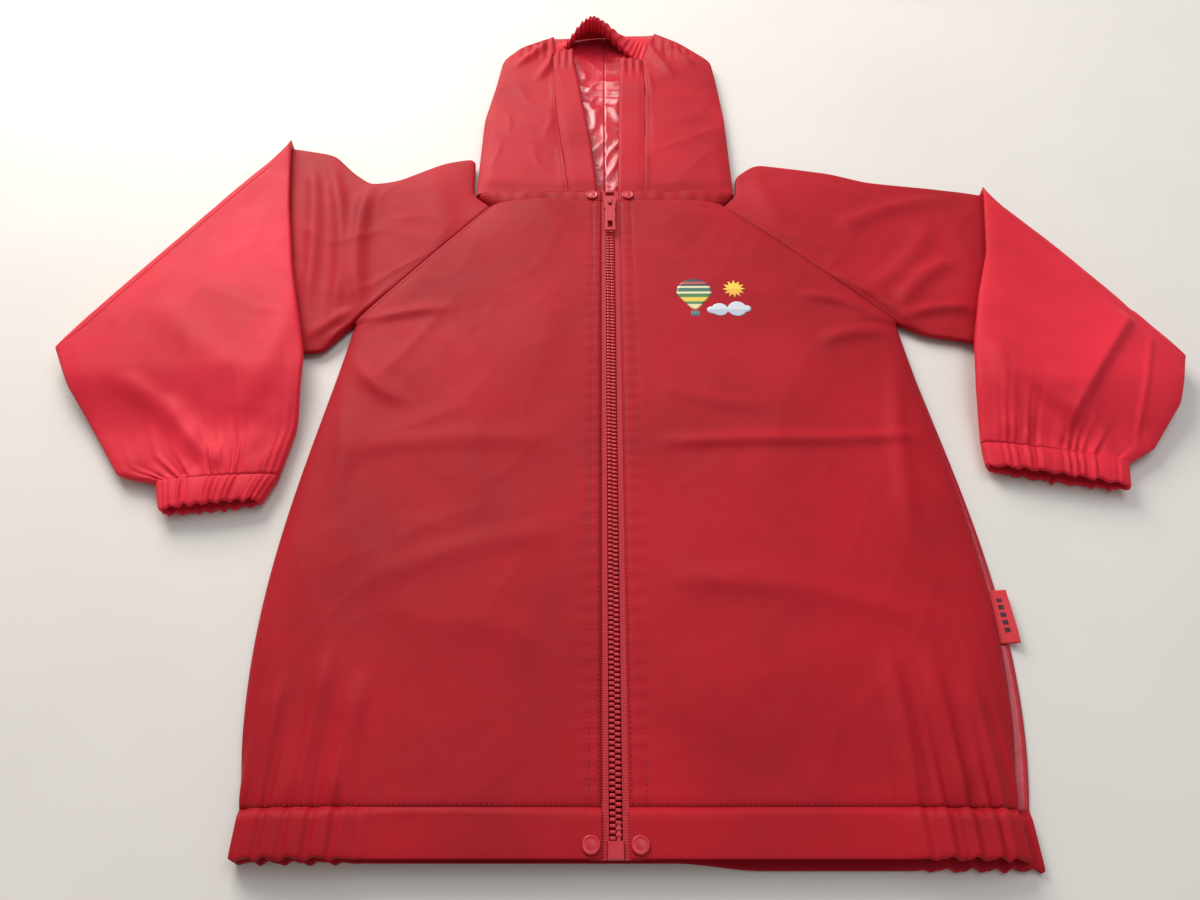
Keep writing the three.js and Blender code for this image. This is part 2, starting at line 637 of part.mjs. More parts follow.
const labelY = hemY + bodyLength * 0.275;
const seamPoints = Array.from({ length: 201 }, (_, i) => panelEdge(1, sideShare * i / 200, backRoll));
const besideLabel = seamPoints.filter(({ y }) => Math.abs(y - labelY) < labelLength / 2 + 2);
const labelX = Math.max(...besideLabel.map(({ x }) => x)) + gap;
const labelTop = labelY + labelLength / 2;
const labelFoot = labelTop - labelLength;
const label = block(labelX, labelX + labelWidth, labelFoot, labelTop, cloth + gap, 2 * cloth + gap);
add("side_label", label, brightRed);

const printZ = [bodyRise + cloth + gap, bodyRise + 2 * cloth];
const printAt = (dx, dy) => [62 + dx, armpitY + 28 + dy];
const balloon = Array.from({ length: 24 }, (_, i) => {
  const angle = Math.PI * 2 * i / 24;
  const tuck = Math.sin(angle) < 0 ? 1 + 0.35 * Math.sin(angle) ** 2 : 1;
  return printAt(13.5 * Math.cos(angle) / tuck ** 2, 14 * Math.sin(angle) * tuck);
});
add("print_balloon", plate(balloon, ...printZ), "#2f7a4a", 0.5);
const sun = Array.from({ length: 24 }, (_, i) => {
  const angle = Math.PI * 2 * i / 24;
  const radius = i % 2 ? 5 : 8.5;
  return printAt(30 + radius * Math.cos(angle), radius * Math.sin(angle));
});
add("print_sun", plate(sun, ...printZ), "#f0c52e", 0.5);
const cloud = Array.from({ length: 30 }, (_, i) => {
  const angle = Math.PI * 2 * i / 30;
  const puff = 1 + 0.16 * Math.abs(Math.sin(angle * 3));
  return printAt(24 + 15 * puff * Math.cos(angle), -19.5 + 3.6 * puff * Math.sin(angle));
});
add("print_cloud", plate(cloud, ...printZ), "#c9d6e8", 0.5);

export default jacket;
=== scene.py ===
import math

import bpy
import numpy as np
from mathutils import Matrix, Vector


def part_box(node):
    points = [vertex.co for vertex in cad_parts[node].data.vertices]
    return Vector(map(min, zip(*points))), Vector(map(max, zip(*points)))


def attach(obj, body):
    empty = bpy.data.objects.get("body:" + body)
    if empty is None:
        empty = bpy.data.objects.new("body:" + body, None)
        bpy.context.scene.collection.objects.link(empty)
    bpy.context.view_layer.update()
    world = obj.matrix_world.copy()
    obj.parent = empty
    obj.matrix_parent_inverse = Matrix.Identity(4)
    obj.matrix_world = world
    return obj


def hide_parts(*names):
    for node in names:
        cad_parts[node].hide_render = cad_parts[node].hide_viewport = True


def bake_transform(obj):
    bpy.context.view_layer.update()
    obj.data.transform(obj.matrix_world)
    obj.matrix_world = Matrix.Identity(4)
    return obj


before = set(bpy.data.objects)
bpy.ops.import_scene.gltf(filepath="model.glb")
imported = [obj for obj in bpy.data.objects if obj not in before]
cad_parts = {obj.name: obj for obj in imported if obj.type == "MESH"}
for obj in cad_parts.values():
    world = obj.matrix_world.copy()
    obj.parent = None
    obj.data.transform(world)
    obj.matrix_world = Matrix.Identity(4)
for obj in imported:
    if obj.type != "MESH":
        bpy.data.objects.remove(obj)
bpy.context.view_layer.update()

# ---- Camera, floor and light ----
# A hand-held view from the wearer's feet, half a metre up. The jacket lies on a pale floor in a soft room,
# with the brightest light beyond its hood.
scene = bpy.context.scene
scene.view_settings.view_transform = "Standard"
lens = bpy.data.cameras.new("camera")
lens.lens = 27.03
lens.sensor_width = 36


def linked(name, data):
    """An object in the scene, holding that data."""
    made = bpy.data.objects.new(name, data)
    scene.collection.objects.link(made)
    return made


camera = linked("camera", lens)
camera.location = (-0.008, -0.333, 0.500)
camera.rotation_euler = (math.radians(34.5), 0, 0)
scene.camera = camera


def linear(code):
    """A colour written as sRGB hex, as linear values with alpha."""
    parts = [int(code[i:i + 2], 16) / 255 for i in (1, 3, 5)]
    return [p / 12.92 if p <= 0.04045 else ((p + 0.055) / 1.055) ** 2.4 for p in parts] + [1]


def add_node(tree, kind, inputs=None, **settings):
    """A shader or geometry node, its inputs given as values or as sockets to link."""
    made = tree.nodes.new(kind)
    for key, value in settings.items():
        setattr(made, key, value)
    for key, value in (inputs or {}).items():
        if isinstance(value, bpy.types.NodeSocket):
            tree.links.new(value, made.inputs[key])
        else:
            made.inputs[key].default_value = value
    return made


def mixed(tree, factor, a, b):
    """A colour between two, each given as sRGB hex or as a socket."""
    ends = {key: linear(c) if isinstance(c, str) else c for key, c in (("A", a), ("B", b))}
    return add_node(tree, "ShaderNodeMix", {"Factor": factor, **ends}, data_type="RGBA").outputs["Result"]


def new_material(name, **surface):
    """A material with its Principled shader."""
    made = bpy.data.materials.new(name)
    made.use_nodes = True
    shader = made.node_tree.nodes["Principled BSDF"]
    for key, value in surface.items():
        shader.inputs[key].default_value = value
    return made, made.node_tree, shader


def lamp(name, spot, target, size, power, colour):
    """A square area light that faces a point."""
    light = bpy.data.lights.new(name, "AREA")
    light.size = size
    light.energy = power
    light.color = linear(colour)[:3]
    made = linked(name, light)
    made.location = spot
    aim = np.array(target) - np.array(spot)
    level = math.hypot(aim[0], aim[1])
    made.rotation_euler = (math.atan2(level, -aim[2]), 0, math.atan2(aim[1], aim[0]) - math.pi / 2)


lamp("window", (-0.8, 1.6, 1.1), (0, 0.2, 0), 1.2, 44, "#fffaf4")
lamp("room", (0.6, 0.6, 1.7), (0, 0.1, 0), 1.2, 10, "#f4f7ff")
world = bpy.data.worlds.new("room")
world.use_nodes = True
world.node_tree.nodes["Background"].inputs["Color"].default_value = linear("#f2f1f0")
world.node_tree.nodes["Background"].inputs["Strength"].default_value = 0.4
scene.world = world

floor_mesh = bpy.data.meshes.new("floor")
floor_z = -0.0004
floor_corners = [(-3, -3, floor_z), (3, -3, floor_z), (3, 4, floor_z), (-3, 4, floor_z)]
floor_mesh.from_pydata(floor_corners, [], [(0, 1, 2, 3)])
floor = linked("floor", floor_mesh)
floor_look, tree, shader = new_material("floor", Roughness=0.6)
where = add_node(tree, "ShaderNodeTexCoord")
mottle = add_node(tree, "ShaderNodeTexNoise", {
    "Vector": where.outputs["Object"], "Scale": 9.0, "Detail": 4.0,
})
tree.links.new(mixed(tree, mottle.outputs["Fac"], "#dcd8d2", "#e4e0da"), shader.inputs["Base Color"])
floor_mesh.materials.append(floor_look)

# ---- Coated nylon ----
# A light plain-weave nylon, dyed red. The face is matt with a faint grain. The back carries the waterproof
# coating, which is glossy and crinkled.


def coated_nylon(name, base, deep, rough, crinkle, sheen):
    """Woven cloth on its own UV in metres: threads, creases of a few millimetres and uneven dye."""
    made, tree, shader = new_material(name)
    uv = add_node(tree, "ShaderNodeUVMap").outputs["UV"]
    place = add_node(tree, "ShaderNodeTexCoord").outputs["Object"]
    warp = add_node(tree, "ShaderNodeTexWave", {"Vector": uv, "Scale": 480.0}, bands_direction="X")
    weft = add_node(tree, "ShaderNodeTexWave", {"Vector": uv, "Scale": 480.0}, bands_direction="Y")
    threads = add_node(tree, "ShaderNodeMath", {
        0: warp.outputs["Fac"], 1: weft.outputs["Fac"],
    }, operation="MAXIMUM")
    cloud = add_node(tree, "ShaderNodeTexNoise", {
        "Vector": place, "Scale": 9.0, "Detail": 4.0, "Roughness": 0.6,
    })
    cloud = add_node(tree, "ShaderNodeMapRange", {
        "Value": cloud.outputs["Fac"], "From Min": 0.34, "From Max": 0.66,
    })
    fine = add_node(tree, "ShaderNodeTexNoise", {
        "Vector": place, "Scale": 45.0, "Detail": 5.0, "Roughness": 0.6,
    })
    crease = add_node(tree, "ShaderNodeTexNoise", {
        "Vector": place, "Scale": 30.0, "Detail": 3.0, "Roughness": 0.5, "Distortion": 1.2,
    }, noise_type="RIDGED_MULTIFRACTAL")
    tone = mixed(tree, cloud.outputs["Result"], deep, base)
    wear = add_node(tree, "ShaderNodeMath", {0: fine.outputs["Fac"], 1: 0.4}, operation="MULTIPLY")
    tree.links.new(mixed(tree, wear.outputs["Value"], tone, base), shader.inputs["Base Color"])
    gloss = add_node(tree, "ShaderNodeMapRange", {
        "Value": fine.outputs["Fac"], "To Min": rough - 0.06, "To Max": rough + 0.08,
    })
    tree.links.new(gloss.outputs["Result"], shader.inputs["Roughness"])
    shader.inputs["Specular IOR Level"].default_value = 0.2 if rough > 0.4 else 0.6
    shader.inputs["Sheen Weight"].default_value = sheen
    shader.inputs["Sheen Roughness"].default_value = 0.5
    shader.inputs["Sheen Tint"].default_value = linear("#ffb0a8")
    bump = add_node(tree, "ShaderNodeBump", {
        "Height": threads.outputs["Value"], "Strength": 0.5, "Distance": 0.00006,
    })
    for relief, strength in ((fine, 0.6), (crease, 0.35)):
        bump = add_node(tree, "ShaderNodeBump", {
            "Height": relief.outputs["Fac"], "Strength": strength, "Distance": crinkle,
            "Normal": bump.outputs["Normal"],
        })
    tree.links.new(bump.outputs["Normal"], shader.inputs["Normal"])
    return made


# One cloth in three base colours. The body's is the cloth's own red; the hood copy and the brighter copy are
# lighter only as painted sheen of the window light, the brighter one on the forearms, cuffs, sleeve turns and
# brim.
body_cloth = coated_nylon("body_cloth", "#b60f22", "#9a0818", 0.62, 0.00045, 0.03)
hood_painted_sheen_cloth = coated_nylon("hood_painted_sheen_cloth", "#c4162a", "#a00c1c", 0.6, 0.00045, 0.05)
# the brightest copy: painted sheen of the window light, on the folded forearms, cuffs, sleeve turns and brim
bright_painted_sheen_cloth = coated_nylon("bright_painted_sheen_cloth", "#e2253c", "#c41629", 0.58, 0.00045, 0.08)
coating = coated_nylon("coating", "#cf2c3e", "#bb1f30", 0.2, 0.0016, 0.0)


def smooth(x, low, high):
    """An eased step from 0 at low to 1 at high."""
    t = np.clip((x - low) / (high - low), 0, 1)
    return t * t * (3 - 2 * t)


def waves(x, y, seed, length, lean=None, spread=0.5):
    """Soft uneven relief: six plane waves of about that length, with a height of about one."""
    rng = np.random.default_rng(seed)
    total = 0
    for _ in range(6):
        turn = rng.uniform(0, math.pi) if lean is None else lean + rng.normal() * spread
        size = length * rng.uniform(0.7, 1.6)
        phase = rng.uniform(0, 2 * math.pi)
        total = total + np.sin((x * math.cos(turn) + y * math.sin(turn)) * 2 * math.pi / size + phase)
    return total / 2.45


def creases(x, y, seed, length, lean=None, spread=0.5):
    """Relief of narrow ridges between wide hollows, as stiff coated cloth makes, from 0 to 1."""
    bent_x = x + 0.3 * length * waves(x, y, seed + 50, 1.7 * length)
    bent_y = y + 0.3 * length * waves(x, y, seed + 51, 1.7 * length)
    return np.clip(1 - np.abs(waves(bent_x, bent_y, seed, length, lean, spread)) * 1.3, 0, 1) ** 1.6


def beside(x, y, start, end, bend):
    """How far points lie to the side of a bowed line, and how strongly it shows there."""
    run = np.array(end, float) - np.array(start, float)
    length = math.hypot(*run)
    t = ((x - start[0]) * run[0] + (y - start[1]) * run[1]) / length ** 2
    across = ((x - start[0]) * run[1] - (y - start[1]) * run[0]) / length
    return across - bend * (1 - (2 * t - 1) ** 2), smooth(t, -0.1, 0.2) * (1 - smooth(t, 0.75, 1.1))


def fold(x, y, start, end, width, height, bend=0.0):
    """One ridge from start to end, bowed by bend, that fades out at both ends."""
    across, fade = beside(x, y, start, end, bend)
    return height * fade * np.exp(-(across / width) ** 2)


def folded_by(relief, x, y, *ridges):
    """A relief with ridges added, each given as start, end, width, height and bend."""
    for ridge in ridges:
        relief = relief + fold(x, y, *ridge)
    return relief


def pleat(x, y, start, end, width, height, bend=0.0):
    """A step in the cloth along a line: steep on one side, easing back on the other."""
    across, fade = beside(x, y, start, end, bend)
    across = across / width
    return height * fade * np.where(across > 0, np.exp(-across), np.exp(-(across * 4) ** 2))


def shell(name, grid, outer, inner=None, thick=0.5, wrap=False, flip=False):
    """A closed sheet of cloth from a grid of points in millimetres, with a UV in metres of cloth."""
    rows, cols = grid.shape[:2]
    if wrap:
        along = np.roll(grid, -1, 1) - np.roll(grid, 1, 1)
    else:
        along = np.gradient(grid, axis=1)
    normal = np.cross(along, np.gradient(grid, axis=0))
    normal /= np.maximum(np.linalg.norm(normal, axis=2, keepdims=True), 1e-9)
    if flip:
        normal = -normal
    corners = np.concatenate([grid.reshape(-1, 3), (grid - normal * thick).reshape(-1, 3)]) * 0.001
    index = np.arange(rows * cols).reshape(rows, cols)
    index = np.concatenate([index, index[:, :1]], 1) if wrap else index
    ring = np.concatenate([grid, grid[:, :1]], 1) if wrap else grid
    u = np.zeros(index.shape)
    v = np.zeros(index.shape)
    u[:, 1:] = np.cumsum(np.linalg.norm(np.diff(ring, axis=1), axis=2), 1)
    v[1:] = np.cumsum(np.linalg.norm(np.diff(ring, axis=0), axis=2), 0)
    u -= u[:, -1:] / 2
    uv = np.stack([u, v], -1) * 0.001
    quads = np.stack([index[:-1, :-1], index[:-1, 1:], index[1:, 1:], index[1:, :-1]], -1).reshape(-1, 4)
    quad_uv = np.stack([uv[:-1, :-1], uv[:-1, 1:], uv[1:, 1:], uv[1:, :-1]], -2).reshape(-1, 4, 2)
    if wrap:
        loops = [index[0], index[-1, ::-1]]
    else:
        loops = [np.concatenate([index[0], index[1:, -1], index[-1, -2::-1], index[-2::-1, 0]])]
    rims = np.concatenate([
        np.stack([e[1:], e[:-1], e[:-1] + rows * cols, e[1:] + rows * cols], -1) for e in loops
    ])
    faces = np.concatenate([quads, quads[:, ::-1] + rows * cols, rims])
    flat_uv = uv.reshape(-1, 2) if not wrap else uv[:, :-1].reshape(-1, 2)
    rim_uv = flat_uv[rims % (rows * cols)]
    face_uv = np.concatenate([quad_uv, quad_uv[:, ::-1], rim_uv])
    if flip:
        faces, face_uv = faces[:, ::-1], face_uv[:, ::-1]
    mesh = bpy.data.meshes.new(name)
    mesh.from_pydata(corners.tolist(), [], faces.tolist())
    mesh.uv_layers.new(name="cloth").data.foreach_set("uv", face_uv.reshape(-1))
    mesh.materials.append(outer)
    mesh.materials.append(inner or outer)
    side = np.zeros(len(faces), int)
    side[len(quads):2 * len(quads)] = 1
    mesh.polygons.foreach_set("material_index", side)
    mesh.polygons.foreach_set("use_smooth", np.ones(len(faces), bool))
    return linked(name, mesh)


def share(count, start=0.0, end=1.0):
    """Evenly spaced numbers, both ends included."""
    return np.linspace(start, end, count)


# ---- Back panel ----
# One piece of coated nylon from the hem to the neck, coating inside. It lies flat on the floor, and shows
# past the left side seam as a narrow strip.
body_middle = 11
hem_y = -221.7
armpit_y = 119
neck_y = 247
front_z = 13
# each front is turned under this far from the zip line
zip_side = 7
side_curve = np.polyfit([hem_y, -98.8, 10.1, armpit_y], [207, 221, 212.5, 200], 3)


def raglan_x(sign, up):
    """The raglan seam, from the armpit (0) to the neck (1)."""
    return (body_middle + sign * 200) * (1 - up) + (-2.5 + sign * 93.5) * up


def side_x(sign, y, inset=0.0):
    """The side seam below the armpit and the raglan seam above it."""
    taper = 1 - np.clip((y - hem_y) / (armpit_y - hem_y), 0, 1)
    low = body_middle + sign * (np.polyval(side_curve, y) - inset * taper)
    high = raglan_x(sign, (y - armpit_y) / (neck_y - armpit_y))
    return np.where(y <= armpit_y, low, high)


def gathered(x):
    """How strongly the elastic draws the hem in, from 0 to 1."""
    return smooth(-x, 118, 150) * (1 - 0.3 * smooth(-x, 190, 206)) + smooth(x, 138, 170)


def hem_wave(x, seed=3):
    """The gathers of the hem: uneven ripples along it."""
    ripple = np.sin(x * 2 * math.pi / 11 + 1.6 * np.sin(x / 13.0 + seed))
    return (ripple + 0.5 * np.sin(x * 2 * math.pi / 6.3 + seed)) * gathered(x)


u, y = np.meshgrid(share(150), share(200, hem_y, neck_y))
x = side_x(-1, y) * (1 - u) + side_x(1, y) * u
rise = 1.0 + 0.8 * (1 + waves(x, y, 11, 120)) + 1.2 * creases(x, y, 12, 85)
rise = rise + np.maximum(hem_wave(x, 5), -0.6) * 1.2 * np.exp(-(y + 221) / 35)
edge_near = np.minimum(u, 1 - u) * 400
rise = 0.8 + rise * smooth(edge_near, 0, 25)
back_panel = shell("back", np.stack([x, y, rise], -1), coating, body_cloth, 0.6)
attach(back_panel, "jacket")
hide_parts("back_panel")

# ---- Fronts ----
# Two panels of the same cloth, sewn to the back at the sides and to the sleeves at the raglan seams. Each is
# turned under beside the zip and topstitched there. Trapped air keeps them up from the back.


def front_edge_z(y):
    """Height of the front's outer edge, low at the side seam and arched along the raglan seam."""
    s = np.clip((y - armpit_y) / (neck_y - armpit_y), 0, 1)
    side = 2.4 + 3.0 * np.exp(-np.clip(y + 222, 0, None) / 14)
    return np.where(y <= armpit_y, side, 9 * (1 + np.sqrt(2 * np.sqrt(s * (1 - s)))) / 2)


def front_top(sign, x, y):
    """Height of the front's face over a point, in millimetres."""
    outer = side_x(sign, y, 8 if sign > 0 else 0)
    c = np.clip((x - zip_side * sign) / (outer - zip_side * sign), 0, 1)
    low = front_edge_z(y)
    level = low + (front_z - low) * np.sqrt(1 - c ** 10)
    away = np.abs(x - zip_side * sign)
    free = smooth(away, 6, 50) * smooth(np.abs(outer - x), 0, 34)
    relief = 1.5 * waves(x, y, 21, 200) + 0.35 * waves(x, y, 22, 80) + 0.9 * creases(x, y, 23, 170)
    relief = relief + 0.25 * creases(x, y, 24, 75)
    if sign > 0:
        relief = folded_by(
            relief, x, y,
            ((22, 9), (216, 15), 5, 2.6, 3), ((30, -92), (190, -120), 9, 1.8, -8),
            ((212, 116), (140, 142), 5, 3.0, 5), ((210, 108), (150, 96), 6, 2.8, 4),
            ((206, 84), (186, -60), 7, 2.4, 6), ((30, 58), (104, 36), 7, 1.4, 4),
        )
    else:
        relief = folded_by(
            relief, x, y,
            ((-190, 112), (-120, 128), 5, 2.6, -4), ((-192, 96), (-140, 40), 6, 2.6, 6),
            ((-196, 70), (-176, -40), 8, 2.2, -6), ((-40, 10), (-180, 0), 8, 1.2, 6),
            ((-30, -60), (-150, -96), 9, 1.4, 8),
        )
    gather = np.maximum(hem_wave(x), -0.8) * 1.5 * np.exp(-np.clip(y + 222, 0, None) / 32)
    for place, swell in ((-192, 5), (-168, 6), (-146, 5), (160, 6), (182, 6), (203, 5)):
        gather = gather + fold(x, y, (place, -222), (place * 0.97, -222 + 14 * swell), 5.5, 2.2)
    seam = -0.7 * np.exp(-((y + 221) / 1.5) ** 2)
    for line in (-14, -9, 8.5, 16.5):
        seam = seam - 0.45 * np.exp(-((x - line) / 1.1) ** 2)
    pucker = 0.22 * np.sin(y * 2 * math.pi / 10 + 2 * np.sin(y / 31)) * np.exp(-((np.abs(x) - 13) / 6) ** 2)
    return level + relief * free + gather * smooth(away, 6, 40) + seam + pucker * smooth(away, 0, 3)


fronts = {}
for side, sign in (("right", -1), ("left", 1)):
    c, y = np.meshgrid(1 - (1 - share(104)) ** 1.25, share(196, hem_y, neck_y))
    outer = side_x(sign, y, 8 if sign > 0 else 0)
    x = zip_side * sign + (outer - zip_side * sign) * c
    z = front_top(sign, x, y)
    folded = smooth(np.abs(x - zip_side * sign), 0, 1.6)
    z = z - 0.8 * (1 - folded)
    fronts[side] = np.stack([x, y, z], -1)
    piece = shell(f"front_{side}", fronts[side], body_cloth, coating, 0.5, flip=sign < 0)
    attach(piece, "jacket")
    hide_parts(f"front_panel_{side}")

# ---- Hem ----
# The cloth is turned up 25 mm inside and stitched, and a wide elastic in it draws the hem in beside both side
# seams. The back hem hangs a few millimetres below the front one.


def casing(name, x, seam_z, base, foot_y, half, outer_look):
    """A turned-up hem: the face runs down to the fold and returns behind, with room for the elastic."""
    face = np.concatenate([share(22, 0, 1) ** 0.8, share(14, 0.97, 0.06)])[:, None]
    over = np.concatenate([np.ones(22), np.zeros(14)])[:, None]
    x = x[None, :] + np.zeros((36, 1))
    seam_y = -221.4
    y = seam_y + (foot_y(x) - seam_y) * np.sin(face * math.pi / 2) ** 0.9
    bulge = np.cos(face ** 4 * math.pi / 2)
    ripple = hem_wave(x, 3)
    room = smooth(seam_y - y, 0.3, 4.5)
    half = half * (0.35 + 0.65 * gathered(x))
    full = base(x) + half + half * bulge + room * (1.1 * gathered(x) + 0.8 * ripple)
    top = seam_z(x) * (1 - room) + full * room
    under = base(x) + half - half * bulge + 0.25 * ripple
    y = y + 0.9 * hem_wave(x, 9) * face ** 3 * gathered(x)
    z = np.where(over > 0, top, under)
    return shell(name, np.stack([x, y, np.maximum(z, 0.6)], -1), outer_look, coating, 0.45, flip=True)


for side, sign in (("right", -1), ("left", 1)):
    line = fronts[side][0, :, 0]
    top = fronts[side][0, :, 2]
    order = np.argsort(line)
    far = side_x(sign, np.array(hem_y), 8 if sign > 0 else 0)
    piece = casing(
        f"hem_front_{side}", share(190, line.min(), line.max()),
        lambda x, a=line[order], b=top[order]: np.interp(x, a, b),
        lambda x, e=far, z=zip_side * sign: 4.1 + 8.1 * np.sqrt(1 - np.clip((x - z) / (e - z), 0, 1) ** 10),
        lambda x: -246.5 + 0 * x, 1.5, body_cloth,
    )
    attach(piece, "jacket")
    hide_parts(f"hem_casing_front_{side}")
piece = casing(
    "hem_back", share(300, body_middle - 206, body_middle + 206.5),
    lambda x: 2.6 + 0 * x, lambda x: 0.5 + 0 * x,
    lambda x: -246.5 - 3.5 * smooth(x, 30, 75), 1.2, body_cloth,
)
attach(piece, "jacket")
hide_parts("hem_casing_back")

# ---- Neck band and hanging loop ----
# A narrow strip sewn round the neck seam, joined to the hood by its top edge. The loop is a doubled strip
# caught in the back of the neck.
for side, sign in (("right", -1), ("left", 1)):
    ends = (-109.4, 101.4)
    seam = (-95.9, 90.9)
    c, v = np.meshgrid(1 - (1 - share(60)) ** 1.3, share(14))
    y = neck_y + 12.0 * v
    outer = seam[sign > 0] + (ends[sign > 0] - seam[sign > 0]) * v
    x = zip_side * sign + (outer - zip_side * sign) * c
    low = 4.6
    z = low + (front_z - low) * np.sqrt(1 - c ** 10) + 0.5 * waves(x, y, 31, 40) * smooth(np.abs(x), 10, 40)
    z = z + 0.7 * np.sin(v * math.pi) ** 0.5 - 0.6 + 0.25 * np.sin(x * 2 * math.pi / 12 + np.sin(x / 17))
    piece = shell(f"neck_strip_{side}", np.stack([x, y, z], -1), body_cloth, coating, 0.6, flip=sign < 0)
    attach(piece, "jacket")
    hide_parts(f"neck_band_{side}")
u, v = np.meshgrid(share(80), share(10))
y = 247.2 + 11.6 * v
x = (-95.5 - 13 * v) * (1 - u) + (90.5 + 10 * v) * u
z = 1.3 + 0.3 * np.sin(x / 5) + 0.4 * np.sin(v * math.pi)
piece = shell("neck_strip_back", np.stack([x, y, z], -1), coating, body_cloth, 0.6)
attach(piece, "jacket")
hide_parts("neck_band_back")
u, v = np.meshgrid(share(60), share(7, -0.5, 0.5))
x = -2.5 + (u - 0.5) * 56
y = 252.8 - 14 * np.sin(math.pi * u) + v * 5
z = 3.4 + 0.8 * np.sin(math.pi * u) + 0.3 * np.cos(v * 2 * math.pi)
piece = shell("loop_strip", np.stack([x, y, z], -1), body_cloth, body_cloth, 0.9)
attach(piece, "jacket")
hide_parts("hanging_loop")

# ---- Sleeves ----
# Raglan sleeves, each one tube from the raglan seam to the cuff. They are folded over at the elbow, so the
# lower half lies on the upper with the cuff toward the hem. The lower half takes a lighter copy of the cloth:
# painted sheen of the window light.


def path(points, count, soften=0):
    """Points shared out by length along a line of corners, the corners rounded."""
    points = np.array(points, float)
    run = np.concatenate([[0], np.cumsum(np.hypot(*np.diff(points, axis=0).T))])
    t = np.linspace(0, run[-1], count)
    line = np.stack([np.interp(t, run, points[:, 0]), np.interp(t, run, points[:, 1])], -1)
    for _ in range(soften):
        line[1:-1] = (line[:-2] + 2 * line[1:-1] + line[2:]) / 4
    return line


def round_share(half):
    """Shares across a flat tube and back, closer together at its two edges."""
    q = np.arange(half) / half
    across = 0.55 * q + 0.45 * (1 - np.cos(math.pi * q)) / 2
    return np.concatenate([across, 1 - across]), np.concatenate([np.ones(half), -np.ones(half)])


def between(a, b, rows, across):
    """Points at fractional rows of two edge lines, shared out across from one to the other."""
    k = np.clip(rows.astype(int), 0, len(a) - 2)
    f = (rows - k)[..., None]
    across = across[..., None]
    spot = (a[k] * (1 - f) + a[k + 1] * f) * (1 - across) + (b[k] * (1 - f) + b[k + 1] * f) * across
    return spot[..., 0], spot[..., 1]


sleeves = {
    "right": {
        "sign": -1,
        "cut": ((0.53, 0.27), 0.084, (0.53, 0.30), 0.073),
        "cuff_cut": (0.20, 0.042),
        "turn_cut": (0.26, 0.034),
        "floor_y": 89,
        "under": [(-189.3, 119), (-208, 92), (-243, 90), (-395, 89)],
        "over": [
            (-96.3, 247), (-112, 261), (-114, 309), (-140, 302), (-175, 280), (-198, 275), (-216, 291),
            (-235, 314), (-273, 323.2),
        ],
        "outer": [(-395, 89), (-375, 55), (-322, -15), (-295, -21)],
        "inner": [(-273, 323.2), (-258, 241), (-241, 167), (-216, 81), (-212, 25), (-217, -16)],
        "cuff": [(-288, -42), (-224, -34)],
    },
    "left": {
        "sign": 1,
        "cut": ((0.42, 0.26), 0.075, (0.42, 0.25), 0.050),
        "cuff_cut": (0.24, 0.042),
        "turn_cut": (0.21, 0.034),
        "floor_y": 81,
        "under": [(211.3, 119), (230, 108), (263, 101), (405, 81)],
        "over": [
            (91.3, 247), (104, 261), (105, 285), (123, 301), (184, 289), (213, 278), (265, 270), (306, 262.2),
        ],
        "outer": [(405, 81), (388, 41), (361, 7), (339, -6)],
        "inner": [(306, 262.2), (289, 185), (272, 139), (258, 94), (250, 54), (246, 10)],
        "cuff": [(334, -24), (245, -8)],
    },
}


def upper_relief(side, x, y):
    """Wrinkles of an upper sleeve's face where the folded half leaves it bare."""
    relief = 1.0 * waves(x, y, 41, 100) + 0.7 * creases(x, y, 42, 80)
    if side == "right":
        relief = folded_by(
            relief, x, y,
            ((-198, 270), (-186, 128), 7, 5.0, 6), ((-236, 300), (-204, 118), 6, 4.5, -8),
            ((-252, 300), (-228, 120), 6, 3.6, -6), ((-205, 100), (-165, 150), 6, 3.0, 5),
            ((-240, 96), (-190, 132), 5, 3.0, 4), ((-150, 290), (-120, 180), 10, 1.6),
        )
    else:
        relief = folded_by(
            relief, x, y,
            ((270, 255), (180, 215), 8, 2.6, 6), ((262, 180), (214, 132), 7, 3.8, 6),
            ((270, 130), (216, 124), 5, 3.6, 4), ((255, 225), (190, 150), 8, 2.6, -8),
            ((120, 290), (140, 220), 9, 1.8, 3), ((228, 108), (160, 170), 6, 3.0, 6),
        )
    return relief


def lower_relief(side, x, y):
    """Wrinkles of the folded-back half."""
    relief = 1.1 * waves(x, y, 51, 130) + 0.5 * creases(x, y, 52, 110)
    if side == "right":
        relief = folded_by(
            relief, x, y,
            ((-250, 30), (-225, 190), 10, 2.4, 6), ((-345, 60), (-262, -8), 8, 2.2, -6),
            ((-300, 40), (-252, -10), 7, 2.4, 4), ((-330, 130), (-250, 60), 12, 1.6, 6),
        )
    else:
        relief = folded_by(
            relief, x, y,
            ((318, 22), (262, 100), 7, 2.8, -6), ((330, 2), (300, 62), 6, 2.6, 5),
        )
        relief = relief + pleat(x, y, (382, 123), (297, 12), 14, 4.6, 2)
        relief = folded_by(
            relief, x, y,
            ((275, 12), (268, 90), 6, 2.0, -3), ((386, 103), (345, 2), 2.0, 1.3, 1),
        )
    return relief


def puckers(across, layer, sign):
    """The small gathers at a wrist, running round it."""
    ring = np.where(layer > 0, across, 2 - across)
    uneven = 0.75 + 0.45 * np.sin(ring * 17 + 2 * sign) + 0.25 * np.sin(ring * 31)
    return uneven * (np.sin(ring * 84 + 2.6 * np.sin(ring * 13 + sign)) + 0.5 * np.sin(ring * 139 + 3))


